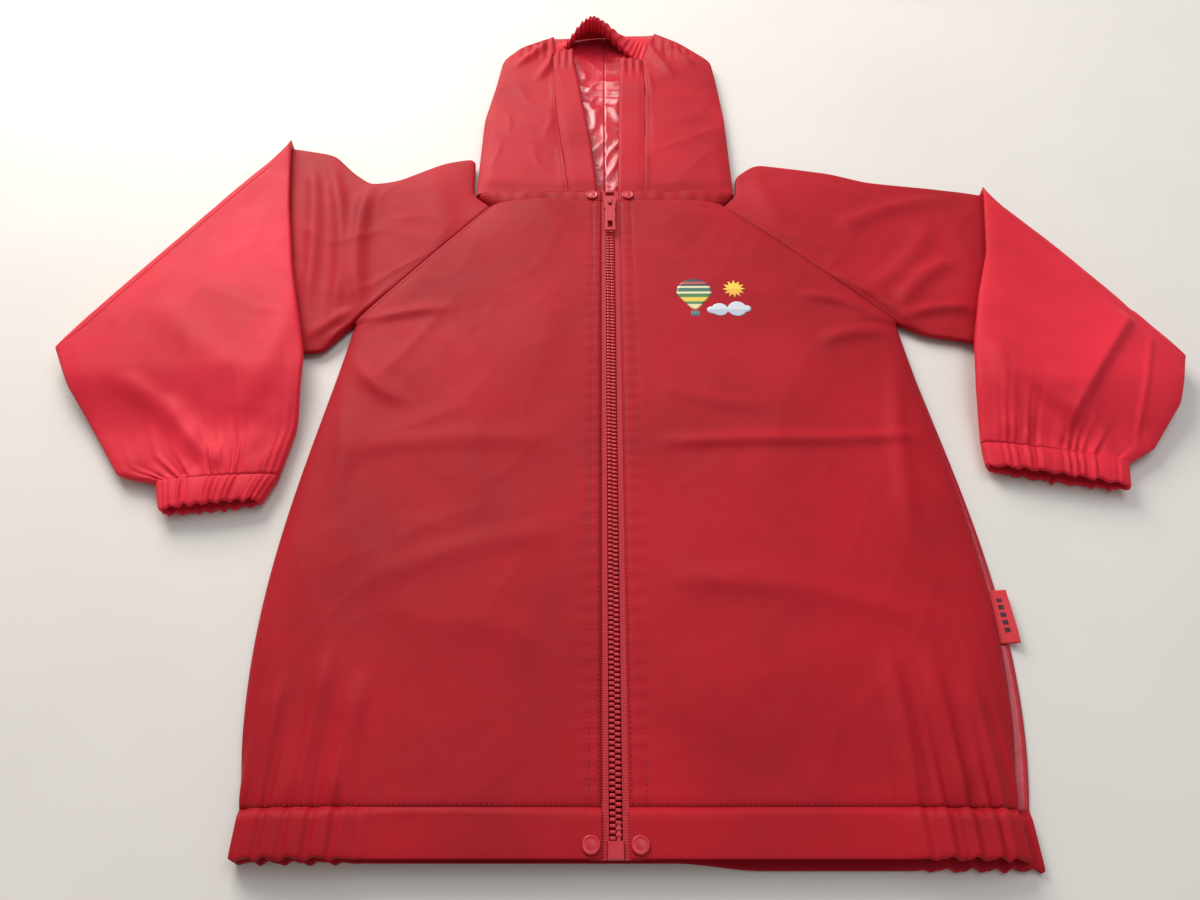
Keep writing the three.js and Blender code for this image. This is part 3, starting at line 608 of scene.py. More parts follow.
for side, made in sleeves.items():
    sign = made["sign"]
    # the upper half, short of the fold on its underside; clear keeps both halves' ends apart when unfolded
    run = np.array(made["over"][-1], float) - np.array(made["under"][-1], float)
    clear = np.array([-run[1], run[0]]) / np.linalg.norm(run) * sign * 0.4
    a = path([*made["under"][:-1], made["under"][-1] + clear], 92, 3)
    b = path([*made["over"][:-1], made["over"][-1] + clear], 92, 6)
    across, layer = (part[None, :] + np.zeros((92, 1)) for part in round_share(95))
    reach = 12 / np.linalg.norm((a[-1] + b[-1] - a[0] - b[0]) / 2)
    s = share(92)[:, None]
    middle = np.sqrt(np.clip(across * (1 - across), 0, 1)) * 2
    s_bottom = s * (1 - reach * np.clip(middle * 1.6, 0, 1))
    rows = np.where(layer < 0, s_bottom, s) * 91
    x, y = between(a, b, rows, across)
    inner_line = path(made["inner"], 80, 4)
    cover_x = np.interp(y, inner_line[::-1, 1], inner_line[::-1, 0])
    bare = smooth(sign * (cover_x - x), -4, 14) if sign > 0 else smooth(x - cover_x, -4, 14)
    seam_near = smooth(s, 0, 0.06)
    z = 0.3 + 9.0 * (1 + layer * np.sqrt(middle)) / 2
    lift = upper_relief(side, x, y) * bare * seam_near * np.clip(middle * 1.4, 0, 1)
    floor_lift = 0.8 * (1 + waves(x, y, 61, 100)) + 1.0 * creases(x, y, 62, 80)
    floor_lift = floor_lift * smooth(1 - s, 0, 0.06)
    z = z + np.where(layer > 0, lift - 0.35 * (1 - bare), floor_lift * middle * seam_near)
    z = z - 0.8 * np.exp(-(s * 220 / 1.6) ** 2) * (layer > 0)
    upper = np.stack([x, y, z], -1)
    piece = shell(f"{side}_arm", upper, body_cloth, coating, 0.5, wrap=True, flip=sign > 0)
    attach(piece, "jacket")
    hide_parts(f"{side}_upper_sleeve")

    # the lower half, short of the fold on its upper side
    outer = path([made["outer"][0] + clear, *made["outer"][1:]], 92, 4)
    inner = path([made["inner"][0] + clear, *made["inner"][1:]], 92, 4)
    reach = 12 / np.linalg.norm((outer[-1] + inner[-1] - outer[0] - inner[0]) / 2)
    start = reach * np.clip(middle * 1.6, 0, 1) * (layer > 0)
    rows = (start + s * (1 - start)) * 91
    x, y = between(outer, inner, rows, across)
    sunk = smooth(y, made["floor_y"] - 75, made["floor_y"] - 18)
    rise_here = 9 + 4 * rows / 91
    swell = layer * np.sqrt(middle)
    z = 0.5 + 9 * sunk + rise_here * (1 + swell) / 2
    near_fold = smooth(s, 0.0, 0.10)
    far = (1 - s) * 250
    near_cuff = (0.5 + 1.3 * smooth(far, 0, 9)) * np.exp(-far / 26)
    ends = smooth(1 - s, 0, 0.03)
    ripple = puckers(across, layer, sign) + 1.3 * waves(x, y, 73, 26, 0.2 * sign, 0.4) * smooth(far, 4, 20)
    ripple = ripple * near_cuff * middle
    z = z + (layer > 0) * (lower_relief(side, x, y) * near_fold * ends * np.clip(middle * 1.5, 0, 1) + ripple)
    z = z + (layer < 0) * (1 - sunk) * (0.7 + 0.7 * waves(x, y, 71, 60)) * middle * ends
    lower = np.stack([x, y, z], -1)
    # the folded-back half takes the brighter copy of the cloth: painted sheen of the window light
    piece = shell(f"{side}_forearm_cloth", lower, bright_painted_sheen_cloth, coating, 0.5, wrap=True, flip=sign < 0)
    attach(piece, f"{side}_forearm")
    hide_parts(f"{side}_lower_sleeve")

    # the turn between them
    half = lower.shape[1] // 2
    over_face = np.arange(half + 1)
    under_face = np.concatenate([[0], np.arange(2 * half - 1, half - 1, -1)])
    first, last = upper[-1, under_face], lower[0, over_face]
    leave = first - upper[-3, under_face]
    leave /= np.linalg.norm(leave, axis=1, keepdims=True)
    arrive = lower[2, over_face] - last
    arrive /= np.linalg.norm(arrive, axis=1, keepdims=True)
    t = across[0, over_face]
    middle = np.sqrt(np.clip(t * (1 - t), 0, 1)) * 2
    pull = (4 * (12 * np.clip(middle * 1.6, 0, 1) + 4.5 * middle))[:, None]
    w = share(25)[:, None, None]
    grid = (2 * w ** 3 - 3 * w ** 2 + 1) * first + (w ** 3 - 2 * w ** 2 + w) * pull * leave
    grid = grid + (3 * w ** 2 - 2 * w ** 3) * last + (w ** 3 - w ** 2) * pull * arrive
    # the turn takes the brighter copy of the cloth: painted sheen of the window light
    piece = shell(f"{side}_sleeve_turn", grid, bright_painted_sheen_cloth, coating, 0.5, flip=sign < 0)
    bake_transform(piece)

# ---- Cuffs ----
# Each sleeve ends in a 20 mm casing turned up inside, with an elastic that gathers it and holds it half open.
for side, made in sleeves.items():
    sign = made["sign"]
    ends = [np.array(made["outer"][-1], float), np.array(made["inner"][-1], float)]
    wrist = [np.array(p, float) for p in made["cuff"]]
    station = np.concatenate([share(18, 0, 1), share(14, 1.0, 0.06)])
    depth = np.concatenate([np.zeros(18), np.full(14, 2.6)])
    depth[17] = 0.5
    depth[18] = 2.0
    across, layer = round_share(120)
    a = ends[0] * (1 - station[:, None]) + wrist[0] * station[:, None]
    b = ends[1] * (1 - station[:, None]) + wrist[1] * station[:, None]
    width = np.linalg.norm(b - a, axis=1)[:, None]
    along = depth[:, None] + (width - 2 * depth[:, None]) * across[None, :]
    spot = a[:, None, :] + (b - a)[:, None, :] * (along / width)[..., None]
    swell = layer * np.sqrt(np.sqrt(np.clip(across * (1 - across), 0, 1)) * 2)
    z = 0.5 + depth[:, None] + (13 - 2 * depth[:, None]) * (1 + swell[None, :]) / 2
    ring = np.where(layer > 0, across, 2 - across)[None, :]
    ripple = puckers(across, layer, sign)[None, :]
    belly = np.sin(np.clip(station, 0, 1) * math.pi)[:, None]
    push = ripple * (0.5 + 0.6 * belly) + 1.0 * belly
    middle = (np.sqrt(np.clip(across * (1 - across), 0, 1)) * 2)[None, :]
    z = z + np.where(layer > 0, 1, -0.25)[None, :] * push * middle * np.where(depth > 1, 0.7, 1)[:, None]
    axis = (wrist[0] + wrist[1] - ends[0] - ends[1]) / np.linalg.norm(wrist[0] + wrist[1] - ends[0] - ends[1])
    wobble = (0.9 * np.sin(ring * 47 + sign) + 0.7 * ripple) * smooth(station, 0.6, 1)[:, None]
    spot = spot + axis * wobble[..., None]
    grid = np.stack([spot[..., 0], spot[..., 1], np.maximum(z, 0.6)], -1)
    # the cuff takes the brighter copy of the cloth: painted sheen of the window light
    piece = shell(f"{side}_cuff_cloth", grid, bright_painted_sheen_cloth, coating, 0.5, wrap=True, flip=sign < 0)
    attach(piece, f"{side}_forearm")
    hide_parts(f"{side}_cuff")

# ---- Hood ----
# Two side panels joined by a seam over the crown and down the back, a stitched facing along each side of the
# face, and a brim with elastic that gathers the top into a standing ruffle.
hood_sides = {
    "right": {
        "sign": -1,
        "rim": [(-106, 0), (-106, 100), (-99, 152), (-95, 192), (-79, 216), (-49, 236)],
        "facing": [(-29.4, 0), (-43, 113), (-49, 200), (-46, 208)],
        "face": [(-6, 0), (-11.8, 67), (-23.5, 154), (-30, 208)],
    },
    "left": {
        "sign": 1,
        "rim": [(106, 0), (106, 100), (103, 152), (100, 190), (72, 224), (49, 242)],
        "facing": [(32, 0), (36, 113), (37, 189), (36, 194)],
        "face": [(10.6, 0), (12.6, 113), (14.5, 188), (12, 194)],
    },
}
hood_at = np.array([-4, 259.3])


def hood_relief(x, y, sign):
    """Wrinkles of the hood's face: soft hollows, and folds that run down from the gathered brim."""
    relief = 0.8 * waves(x, y, 81, 110) + 0.6 * creases(x, y, 82, 90, 1.2, 0.5)
    for dx, run in ((-34, 95), (-58, 70), (-78, 50), (40, 90), (60, 66), (80, 48)):
        if dx * sign > 0:
            start, end = (-4 + dx * 0.7, 488), (-4 + dx * 1.05, 488 - run)
            relief = relief + fold(x, y, start, end, 4.5, 3.2, 3 * sign)
    return relief


def hood_level(v):
    """Height of the hood's face, from its lower edge (0) to the crown (1)."""
    return 11 - 4 * np.clip(v - 0.75, 0, None) / 0.25


for side, made in hood_sides.items():
    sign = made["sign"]
    rim = path(made["rim"], 110, 8) + hood_at
    facing = path(made["facing"], 110, 4) + hood_at
    centre = np.stack([np.full(110, -4.0), share(110, 259.3, 503.2)], -1)
    u, v = np.meshgrid(share(150), share(110))
    f = np.abs(2 * u - 1) ** 1.25
    turn = np.arccos(1 - f)
    target = np.where((u < 0.5)[..., None], centre[:, None, :], facing[:, None, :])
    spot = rim[:, None, :] * (1 - f[..., None]) + target * f[..., None]
    swell = np.sign(u - 0.5) * np.sqrt(np.sin(turn))
    z = 0.6 + (hood_level(v) - 0.6) * (1 + swell) / 2
    x, y = spot[..., 0], spot[..., 1]
    ends = smooth(v, 0, 0.07) * smooth(1 - v, 0, 0.06)
    top = smooth(u, 0.5, 0.62)
    near_facing = smooth(1 - u, 0, 0.05)
    z = z + top * hood_relief(x, y, sign) * ends * near_facing
    gather = np.sin(x * 2 * math.pi / 9 + 2 * np.sin(x / 11)) * smooth(y, 440, 492) * top
    z = z + 1.3 * gather + 1.6 * top * smooth(v, 0, 0.06) * (1 - smooth(v, 0.1, 0.5))
    low = smooth(0.5 - u, 0, 0.1) * (1 - 0.85 * smooth(y, 420, 450))
    z = z + low * (0.8 + 0.9 * waves(x, y, 91, 45) + 1.6 * creases(x, y, 92, 42)) * ends
    z = np.maximum(z, 0.55)
    made["grid"] = np.stack([x, y, z], -1)
    # the hood's panels and facings take the hood copy of the cloth, lighter as painted sheen of the window
    # light
    piece = shell(f"hood_{side}", made["grid"], hood_painted_sheen_cloth, coating, 0.5, flip=sign > 0)
    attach(piece, "hood")
    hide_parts(f"hood_panel_{side}")

    face = path(made["face"], 110, 4) + hood_at
    u, v = np.meshgrid(share(26), share(110))
    spot = facing[:, None, :] * (1 - u[..., None]) + face[:, None, :] * u[..., None]
    x, y = spot[..., 0], spot[..., 1]
    z = hood_level(v) + 0.5 * smooth(u, 0, 0.3) + 1.6 * smooth(v, 0, 0.06) * (1 - smooth(v, 0.1, 0.5))
    z = z + 0.6 * waves(x, y, 83, 50) * smooth(v, 0, 0.1) * smooth(1 - v, 0, 0.1) - 1.2 * smooth(u, 0.9, 1)
    z = z + 0.9 * np.sin(x * 2 * math.pi / 7 + 1) * smooth(v, 0.8, 1) + 2.5 * smooth(v, 0.78, 1) ** 2 * u
    piece = shell(f"hood_front_{side}", np.stack([x, y, z], -1), hood_painted_sheen_cloth, coating, 0.9, flip=sign > 0)
    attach(piece, "hood")
    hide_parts(f"hood_facing_{side}")

back_line = np.array([(-42, 229), (0, 240), (42, 236)]) + hood_at
front_line = np.array([(-42, 210), (-8, 226), (34, 197)]) + hood_at


def bow(line, u):
    """A curve through three points."""
    a, b, c = line
    mid = 2 * b - (a + c) / 2
    u = u[..., None]
    return a * (1 - u) ** 2 + 2 * mid * u * (1 - u) + c * u ** 2


u, w = np.meshgrid(share(250, -0.07, 1.08), share(56))
# the face of the ruffle rises from the crown, turns over the top and comes down inside
over = np.clip(w / 0.72, 0, 1)
inside = np.clip((w - 0.72) / 0.28, 0, 1)
spot = bow(back_line, u) * (1 - over[..., None]) + bow(front_line, u) * over[..., None]
crest = 24 * np.clip(np.cos(math.pi * (u - 0.45)), 0, 1) ** 2.2
foot = 1.6 + 2 * np.clip(np.abs(2 * u - 1), 0, 1) ** 3
z = foot + (5.6 + crest - foot) * np.sin(over * math.pi / 2) ** 0.8
gather = np.sin(u * 112 + 2.1 * np.sin(u * 13)) + 0.45 * np.sin(u * 177 + 1)
size = 0.3 + 1.2 * over
z = z + gather * size * 0.55 * smooth(over, 0.1, 0.6)
y = spot[..., 1] + gather * size * 0.7 * smooth(over, 0.1, 0.8)
x = spot[..., 0] + 0.5 * np.sin(u * 112 + 2.1 * np.sin(u * 13) + 1.4) * over
z = z - inside * (7 + 0.25 * crest)
y = y - 2.4 * np.sin(inside * math.pi) + 1.0 * inside
# the brim takes the brighter copy of the cloth: painted sheen of the window light
piece = shell("brim", np.stack([x, y, np.maximum(z, 1.0)], -1), bright_painted_sheen_cloth, bright_painted_sheen_cloth, 0.6, flip=True)
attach(piece, "hood")
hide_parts("hood_brim_casing")

# ---- Neck seam ----
# The back of the hood is sewn to the neck band with a little slack in the cloth.
u, v = np.meshgrid(share(90), share(25))
x = -106.5 * (1 - u) + 98.5 * u
y = 258.6 + 6.4 * v
z = 1.7 + 2.0 * v + 7.0 * np.sin(math.pi * v) * np.sqrt(1 - (2 * u - 1) ** 6)
piece = shell("neck_seam", np.stack([x, y, z], -1), coating, body_cloth, 0.5)
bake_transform(piece)

# ---- Zip ----
# A moulded plastic zip in matching red: a row of teeth on each woven tape, a pin and a box at the foot, clear
# films on the tape ends, and a slider whose puller is a plate with a slot.


def two_tone(name, rough, kind, texture, dark, light, bump=None, **settings):
    """A material whose colour, and relief if any, follow one texture on Object coordinates."""
    made, tree, shader = new_material(name, Roughness=rough)
    place = add_node(tree, "ShaderNodeTexCoord").outputs["Object"]
    pattern = add_node(tree, kind, {"Vector": place, **texture}, **settings).outputs["Fac"]
    tree.links.new(mixed(tree, pattern, dark, light), shader.inputs["Base Color"])
    if bump:
        relief = add_node(tree, "ShaderNodeBump", {
            "Height": pattern, "Strength": bump[0], "Distance": bump[1],
        })
        tree.links.new(relief.outputs["Normal"], shader.inputs["Normal"])
    return made


plastic = two_tone(
    "zip_plastic", 0.32, "ShaderNodeTexNoise", {"Scale": 900.0, "Detail": 3.0}, "#b81b29", "#c72232",
    (0.3, 0.00008),
)
tape = two_tone(
    "zip_tape", 0.75, "ShaderNodeTexWave", {"Scale": 220.0, "Distortion": 0.4}, "#a81624", "#c42233",
    (0.6, 0.0002), bands_direction="Y",
)
webbing = two_tone(
    "elastic", 0.85, "ShaderNodeTexWave", {"Scale": 160.0}, "#cfc8bd", "#ece7df",
    (0.6, 0.0003), bands_direction="X",
)
film = two_tone("film", 0.16, "ShaderNodeTexNoise", {"Scale": 400.0}, "#b81c2a", "#cc3040")


def dress(name, look):
    """Gives a CAD node its material."""
    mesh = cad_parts[name].data
    if not mesh.materials:
        mesh.materials.append(look)
    for k in range(len(mesh.materials)):
        mesh.materials[k] = look


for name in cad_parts:
    if "elastic" in name:
        dress(name, webbing)
    elif name.startswith("zip_tape"):
        dress(name, tape)
    elif name.startswith("end_film"):
        dress(name, film)
    elif name.startswith(("insertion_pin", "top_stop", "hem_stud_socket", "neck_stud_socket")):
        dress(name, plastic)


def repeat_group(name):
    """Geometry nodes that set copies of a small shape along the input's lines, at a spacing."""
    group = bpy.data.node_groups.new(name, "GeometryNodeTree")
    face = group.interface
    face.new_socket("Geometry", in_out="INPUT", socket_type="NodeSocketGeometry")
    for label, kind, value in (
        ("Spacing", "NodeSocketFloat", 0.003), ("Size", "NodeSocketVector", (1, 1, 1)),
        ("Roundness", "NodeSocketFloat", 0.0), ("Detail", "NodeSocketInt", 1),
    ):
        face.new_socket(label, in_out="INPUT", socket_type=kind).default_value = value
    face.new_socket("Material", in_out="INPUT", socket_type="NodeSocketMaterial")
    face.new_socket("Geometry", in_out="OUTPUT", socket_type="NodeSocketGeometry")
    start = add_node(group, "NodeGroupInput")
    curve = add_node(group, "GeometryNodeMeshToCurve", {"Mesh": start.outputs["Geometry"]})
    even = add_node(group, "GeometryNodeResampleCurve", {
        "Curve": curve.outputs["Curve"], "Length": start.outputs["Spacing"],
    }, mode="LENGTH")
    tangent = add_node(group, "GeometryNodeInputTangent")
    turn = add_node(group, "FunctionNodeAlignRotationToVector", {
        "Vector": tangent.outputs["Tangent"],
    }, axis="Y")
    cube = add_node(group, "GeometryNodeMeshCube", {"Size": (1, 1, 1)})
    soft = add_node(group, "GeometryNodeSubdivisionSurface", {
        "Mesh": cube.outputs["Mesh"], "Level": start.outputs["Detail"],
        "Edge Crease": start.outputs["Roundness"],
    })
    sized = add_node(group, "GeometryNodeTransform", {
        "Geometry": soft.outputs["Mesh"], "Scale": start.outputs["Size"],
    })
    copies = add_node(group, "GeometryNodeInstanceOnPoints", {
        "Points": even.outputs["Curve"], "Instance": sized.outputs["Geometry"],
        "Rotation": turn.outputs["Rotation"],
    })
    real = add_node(group, "GeometryNodeRealizeInstances", {"Geometry": copies.outputs["Instances"]})
    shaded = add_node(group, "GeometryNodeSetShadeSmooth", {"Geometry": real.outputs["Geometry"]})
    done = add_node(group, "GeometryNodeSetMaterial", {
        "Geometry": shaded.outputs["Geometry"], "Material": start.outputs["Material"],
    })
    add_node(group, "NodeGroupOutput", {"Geometry": done.outputs["Geometry"]})
    return group


repeats = repeat_group("repeat_along")


def along_lines(name, lines, spacing, size, look, roundness=0.3, detail=1):
    """A plain mesh of small shapes repeated along lines given in millimetres."""
    corners, edges = [], []
    for line in lines:
        start = len(corners)
        corners += [tuple(p) for p in np.asarray(line) * 0.001]
        edges += [(start + k, start + k + 1) for k in range(len(line) - 1)]
    mesh = bpy.data.meshes.new(name + "_lines")
    mesh.from_pydata(corners, edges, [])
    source = linked(name + "_lines", mesh)
    rows = source.modifiers.new("rows", "NODES")
    rows.node_group = repeats
    key = {item.name: item.identifier for item in repeats.interface.items_tree if item.in_out == "INPUT"}
    rows[key["Spacing"]] = spacing * 0.001
    rows[key["Size"]] = [s * 0.001 for s in size]
    rows[key["Roundness"]] = roundness
    rows[key["Detail"]] = detail
    rows[key["Material"]] = look
    bpy.context.view_layer.update()
    found = source.evaluated_get(bpy.context.evaluated_depsgraph_get())
    result = bpy.data.meshes.new_from_object(found)
    result.name = name
    source.modifiers.clear()
    bpy.data.objects.remove(source)
    return linked(name, result)


for side, sign, foot in (("right", -1, -236.6), ("left", 1, -235.1)):
    chain = [(sign * 1.55, foot, 11.4), (sign * 1.55, 250, 11.4)]
    teeth = along_lines(f"teeth_{side}", [chain], 3.0, (3.3, 1.9, 2.6), plastic, 0.75, 2)
    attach(teeth, "jacket")
    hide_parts(f"zip_teeth_{side}")


def rounded(name, node, radius, look, body):
    """The CAD part's own shape with its edges rounded."""
    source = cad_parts[node]
    mesh = source.data.copy()
    mesh.name = name
    made = linked(name, mesh)
    made.matrix_world = source.matrix_world.copy()
    bevel = made.modifiers.new("edges", "BEVEL")
    bevel.width = radius * 0.001
    bevel.segments = 3
    bevel.limit_method = "ANGLE"
    bevel.use_clamp_overlap = True
    bpy.context.view_layer.update()
    mesh = bpy.data.meshes.new_from_object(made.evaluated_get(bpy.context.evaluated_depsgraph_get()))
    mesh.transform(made.matrix_world)
    bpy.data.objects.remove(made)
    mesh.materials.clear()
    mesh.materials.append(look)
    mesh.polygons.foreach_set("material_index", np.zeros(len(mesh.polygons), int))
    mesh.polygons.foreach_set("use_smooth", np.ones(len(mesh.polygons), bool))
    made = linked(name, mesh)
    tidy = made.modifiers.new("shade", "WEIGHTED_NORMAL")
    tidy.keep_sharp = True
    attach(made, body)
    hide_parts(node)
    return made


rounded("slider_shell", "slider_body", 0.35, plastic, "slider")
rounded("pull_plate", "puller", 0.3, plastic, "puller")
rounded("box_shell", "retainer_box", 0.35, plastic, "jacket")

# The wind flap behind the zip is a flat strip of the same cloth.
x, y = np.meshgrid(share(24, -21, 24), share(160, -244, 257.9))
z = 8.3 + 2.4 * smooth(x, 18, 24) + 0.25 * waves(x, y, 95, 60) * smooth(np.abs(x), 3, 15)
piece = shell("flap_strip", np.stack([x, y, z], -1), body_cloth, coating, 0.7)
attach(piece, "jacket")
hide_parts("wind_flap")

# ---- Press studs ----
# Red moulded caps with a rolled rim, two at the hem and two on the neck band, over sockets on the flap.


def turned(name, profile, centre, look):
    """A round part from a profile of radius and height, in millimetres."""
    count = 40
    ring = share(count + 1)[:-1] * 2 * math.pi
    corners = [
        (centre[0] + r * math.cos(a), centre[1] + r * math.sin(a), centre[2] + h)
        for r, h in profile for a in ring
    ]
    faces = []
    for k in range(len(profile) - 1):
        for j in range(count):
            n = (j + 1) % count
            faces.append((k * count + j, k * count + n, (k + 1) * count + n, (k + 1) * count + j))
    faces.append(tuple(range(count))[::-1])
    faces.append(tuple((len(profile) - 1) * count + j for j in range(count)))
    mesh = bpy.data.meshes.new(name)
    mesh.from_pydata((np.array(corners) * 0.001).tolist(), [], faces)
    mesh.materials.append(look)
    mesh.polygons.foreach_set("use_smooth", np.ones(len(faces), bool))
    return linked(name, mesh)


cap_profile = [
    (4.3, 0), (4.75, 0.25), (4.8, 0.7), (4.5, 1.05), (4.0, 1.15), (3.6, 0.95), (2.8, 0.9), (1.6, 1.05),
    (0.6, 1.1),
]
for place, inset, at_y, seat in (("hem", 12.5, -240, 13.5), ("neck", 14.5, 253.1, 13.3)):
    for side, sign in (("right", -1), ("left", 1)):
        piece = turned(f"{place}_cap_{side}", cap_profile, (sign * inset, at_y, seat), plastic)
        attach(piece, "jacket")
        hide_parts(f"{place}_stud_cap_{side}")

# ---- Stitching ----
# Red lockstitch in 3 mm steps: two rows beside the zip, one above the hem, along the raglan seams and down
# both facings.
thread = two_tone("thread", 0.6, "ShaderNodeTexNoise", {"Scale": 1500.0}, "#7c0c18", "#8e121e")
lines = []
for line in (-14, -9, 8.5, 16.5):
    sign = -1 if line < 0 else 1
    y = share(200, -219, 246)
    x = np.full(200, float(line))
    lines.append(np.stack([x, y, front_top(sign, x, y) + 0.15], -1))
for sign in (-1, 1):
    low = side_x(sign, np.array(-221.0), 8 if sign > 0 else 0) - sign * 4
    x = share(160, 8.0 * sign, float(low))
    y = np.full(160, -220.6)
    lines.append(np.stack([x, y, front_top(sign, x, y) + 0.2], -1))
    t = share(90, 0.04, 0.97)
    x = raglan_x(sign, t) - sign * 3.6
    y = armpit_y + (neck_y - armpit_y) * t - 1.2
    lines.append(np.stack([x, y, front_top(sign, x, y) + 0.15], -1))
stitches = along_lines("body_stitches", lines, 3.0, (0.45, 2.1, 0.4), thread)
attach(stitches, "jacket")
lines = [made["grid"][3:-6, -4] + (0, 0, 0.15) for made in hood_sides.values()]
stitches = along_lines("hood_stitches", lines, 3.0, (0.45, 2.1, 0.4), thread)
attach(stitches, "hood")

# ---- Label and print ----
# A woven tab caught in the left side seam, with plain bars where a name would be, and a small screen print on
# the left chest: a striped balloon, a sun and clouds of a general kind.
tab, tree, shader = new_material("label", Roughness=0.7)
place = add_node(tree, "ShaderNodeTexCoord").outputs["Object"]
split = add_node(tree, "ShaderNodeSeparateXYZ", {"Vector": place})
low, high = (np.array(c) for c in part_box("side_label"))
across, along = (
    add_node(tree, "ShaderNodeMapRange", {
        "Value": split.outputs[key], "From Min": float(low[k]), "From Max": float(high[k]),
    })
    for k, key in enumerate("XY")
)


def math_node(operation, first, second=0.5):
    """The value of one operation on the label's coordinates."""
    return add_node(tree, "ShaderNodeMath", {0: first, 1: second}, operation=operation).outputs["Value"]


mask = 1.0
for source, start, end in ((across, 0.3, 0.62), (along, 0.16, 0.84)):
    above = math_node("GREATER_THAN", source.outputs["Result"], start)
    below = math_node("LESS_THAN", source.outputs["Result"], end)
    mask = math_node("MULTIPLY", mask, math_node("MULTIPLY", above, below))
steps = math_node("FRACT", math_node("MULTIPLY", along.outputs["Result"], 7.0))
mask = math_node("MULTIPLY", mask, math_node("GREATER_THAN", steps, 0.35))
tree.links.new(mixed(tree, mask, "#d22a36", "#3a1420"), shader.inputs["Base Color"])
weave = add_node(tree, "ShaderNodeTexWave", {"Vector": place, "Scale": 500.0}, bands_direction="X")
bump = add_node(tree, "ShaderNodeBump", {"Height": weave.outputs["Fac"], "Strength": 0.5, "Distance": 0.0001})
tree.links.new(bump.outputs["Normal"], shader.inputs["Normal"])
low, high = low * 1000, high * 1000
u, v = np.meshgrid(share(18), share(40))
x = low[0] - 2 + (high[0] - low[0] + 2) * u
y = low[1] + (high[1] - low[1]) * v
z = 2.2 + 1.8 * u ** 1.5 + 0.5 * np.sin(v * 5) * u
piece = shell("label_tab", np.stack([x, y, z], -1), tab, tab, 0.8)
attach(piece, "jacket")
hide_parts("side_label")


def ink(name, stops, direction="Y", scale=(0.0, 1.0)):
    """Screen ink in flat bands of colour along one object axis."""
    made, tree, shader = new_material(name, Roughness=0.42)
    place = add_node(tree, "ShaderNodeTexCoord").outputs["Object"]
    split = add_node(tree, "ShaderNodeSeparateXYZ", {"Vector": place})
    level = add_node(tree, "ShaderNodeMapRange", {
        "Value": split.outputs[direction], "From Min": scale[0] * 0.001, "From Max": scale[1] * 0.001,
    })
    ramp = add_node(tree, "ShaderNodeValToRGB", {"Fac": level.outputs["Result"]})
    ramp.color_ramp.interpolation = "CONSTANT"
    points = ramp.color_ramp.elements
    points[0].position, points[0].color = stops[0][0], linear(stops[0][1])
    points[1].position, points[1].color = stops[1][0], linear(stops[1][1])
    for position, colour in stops[2:]:
        points.new(position).color = linear(colour)
    speckle = add_node(tree, "ShaderNodeTexNoise", {"Vector": place, "Scale": 2500.0})
    fade = add_node(tree, "ShaderNodeMath", {0: speckle.outputs["Fac"], 1: 0.12}, operation="MULTIPLY")
    worn = mixed(tree, fade.outputs["Value"], ramp.outputs["Color"], "#d8cfc0")
    tree.links.new(worn, shader.inputs["Base Color"])
    return made


def printed(name, outline, look, layer=0.0):
    """A patch of ink that follows the cloth under it."""
    outline = np.array(outline, float)
    centre = outline.mean(0)
    rings = share(9, 0.0, 1.0)
    flat = centre + (outline - centre)[None] * rings[:, None, None]
    x, y = flat[..., 0], flat[..., 1]
    top = front_top(1, x, y) + 0.12 + layer
    count = len(outline)
    corners = np.concatenate([np.stack([x, y, z], -1).reshape(-1, 3) for z in (top, top - 0.3)]) * 0.001
    total = len(rings) * count
    faces = []
    for k in range(len(rings) - 1):
        for j in range(count):
            n = (j + 1) % count
            quad = (k * count + j, (k + 1) * count + j, (k + 1) * count + n, k * count + n)
            quad = quad if k else quad[:3]
            faces.append(quad)
            faces.append(tuple(q + total for q in quad[::-1]))
    last = (len(rings) - 1) * count
    for j in range(count):
        n = (j + 1) % count
        faces.append((last + j, last + j + total, last + n + total, last + n))
    mesh = bpy.data.meshes.new(name)
    mesh.from_pydata(corners.tolist(), [], faces)
    mesh.validate()
    mesh.polygons.foreach_set("use_smooth", np.ones(len(mesh.polygons), bool))
    mesh.materials.append(look)
    made = linked(name, mesh)
    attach(made, "jacket")
    return made


def centre_of(node):
    """The middle of a CAD node's box, in millimetres."""
    low, high = (np.array(c) * 1000 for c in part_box(node))
    return (low + high) / 2


def star(radius, ring):
    """An outline round the middle of the print in hand, at a radius for each angle."""
    return np.stack([middle[0] + radius * np.cos(ring), middle[1] + radius * np.sin(ring)], -1)


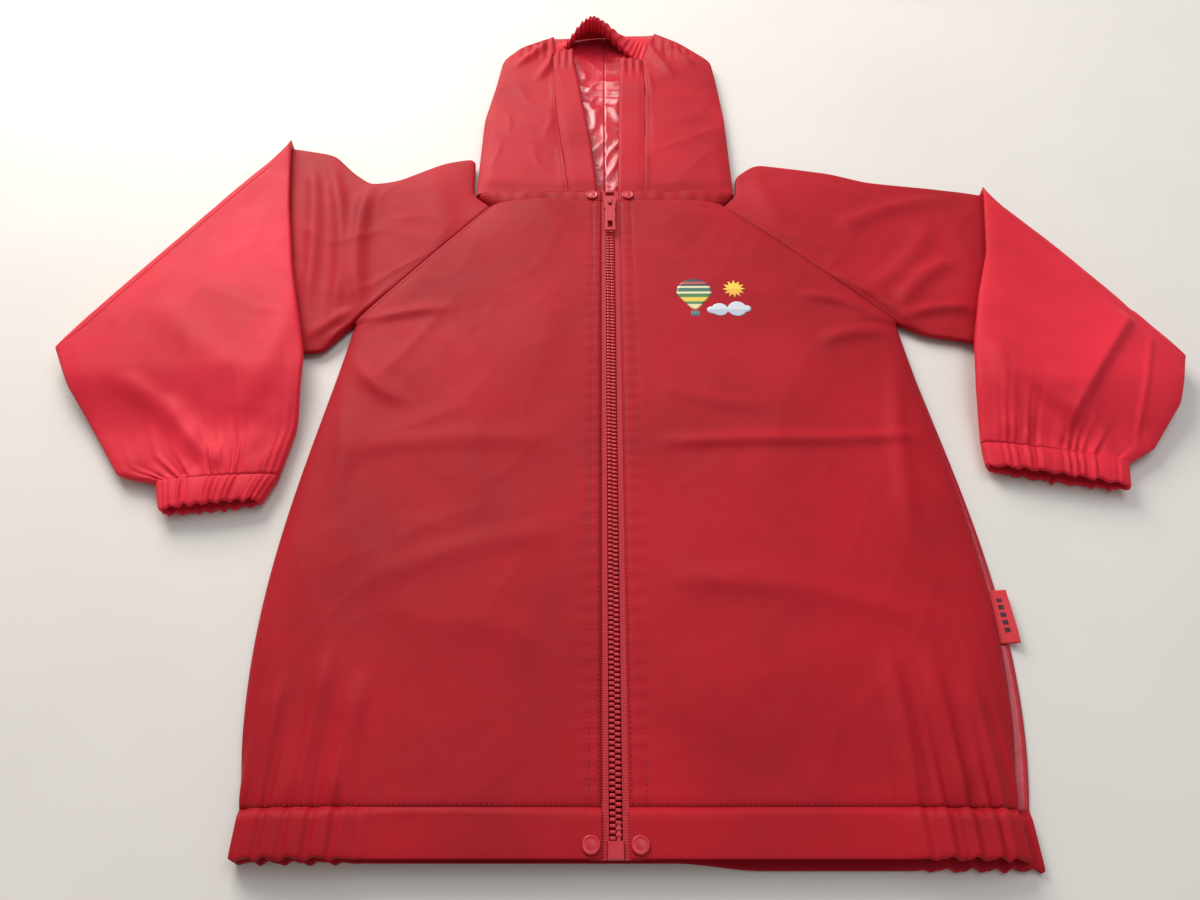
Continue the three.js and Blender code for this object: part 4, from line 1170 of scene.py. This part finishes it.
middle = centre_of("print_balloon")
ring = share(49)[:-1] * 2 * math.pi
pinch = np.where(np.sin(ring) < 0, 1 + 0.35 * np.sin(ring) ** 2, 1)
outline = np.stack([middle[0] + 13 * np.cos(ring) / pinch ** 2, middle[1] + 13.2 * np.sin(ring) * pinch], -1)
balloon_ink = ink("balloon_ink", [
    (0.0, "#e8d9a0"), (0.16, "#2f7a3c"), (0.24, "#e8c93a"), (0.38, "#2f7a3c"), (0.5, "#efe3b4"),
    (0.56, "#2a6a58"), (0.68, "#efe3b4"), (0.74, "#1f2a4a"), (0.82, "#c8402a"), (0.88, "#1f2a4a"),
], "Y", (middle[1] - 17, middle[1] + 13.5))
piece = printed("print_ball", outline, balloon_ink)
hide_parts("print_balloon")
basket = [(middle[0] + dx, middle[1] + dy) for dx, dy in ((-3, -19), (3, -19), (3.4, -23.5), (-3.4, -23.5))]
basket_ink = ink("basket_ink", [(0, "#1d5f66"), (0.5, "#2a7a80")], "Y", (middle[1] - 24, middle[1] - 19))
piece = printed("print_basket", basket[::-1], basket_ink)

middle = centre_of("print_sun")
ring = share(25)[:-1] * 2 * math.pi
radius = np.where(np.arange(24) % 2, 5.0, 8.6)
sun_ink = ink("sun_ink", [(0, "#f2b81e"), (0.5, "#f7d42c")], "Y", (middle[1] - 8, middle[1] + 8))
piece = printed("print_rays", star(radius, ring), sun_ink)
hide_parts("print_sun")

middle = centre_of("print_cloud")
ring = share(91)[:-1] * 2 * math.pi
radius = np.full(90, 2.0)
for cx, cy, r in ((-12, -1, 3.4), (-5, 0.8, 4.4), (3, -0.6, 3.6), (9.5, 1.0, 4.2), (14, 0.4, 3.2)):
    ahead = cx * np.cos(ring) + cy * np.sin(ring)
    aside = cx * np.sin(ring) - cy * np.cos(ring)
    radius = np.maximum(radius, ahead + np.sqrt(np.clip(r * r - aside ** 2, 0, None)) * (np.abs(aside) < r))
cloud_ink = ink("cloud_ink", [(0, "#b9c2d4"), (0.45, "#d5dae4")], "Y", (middle[1] - 4, middle[1] + 4))
piece = printed("print_puff", star(radius, ring), cloud_ink, 0.06)
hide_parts("print_cloud")
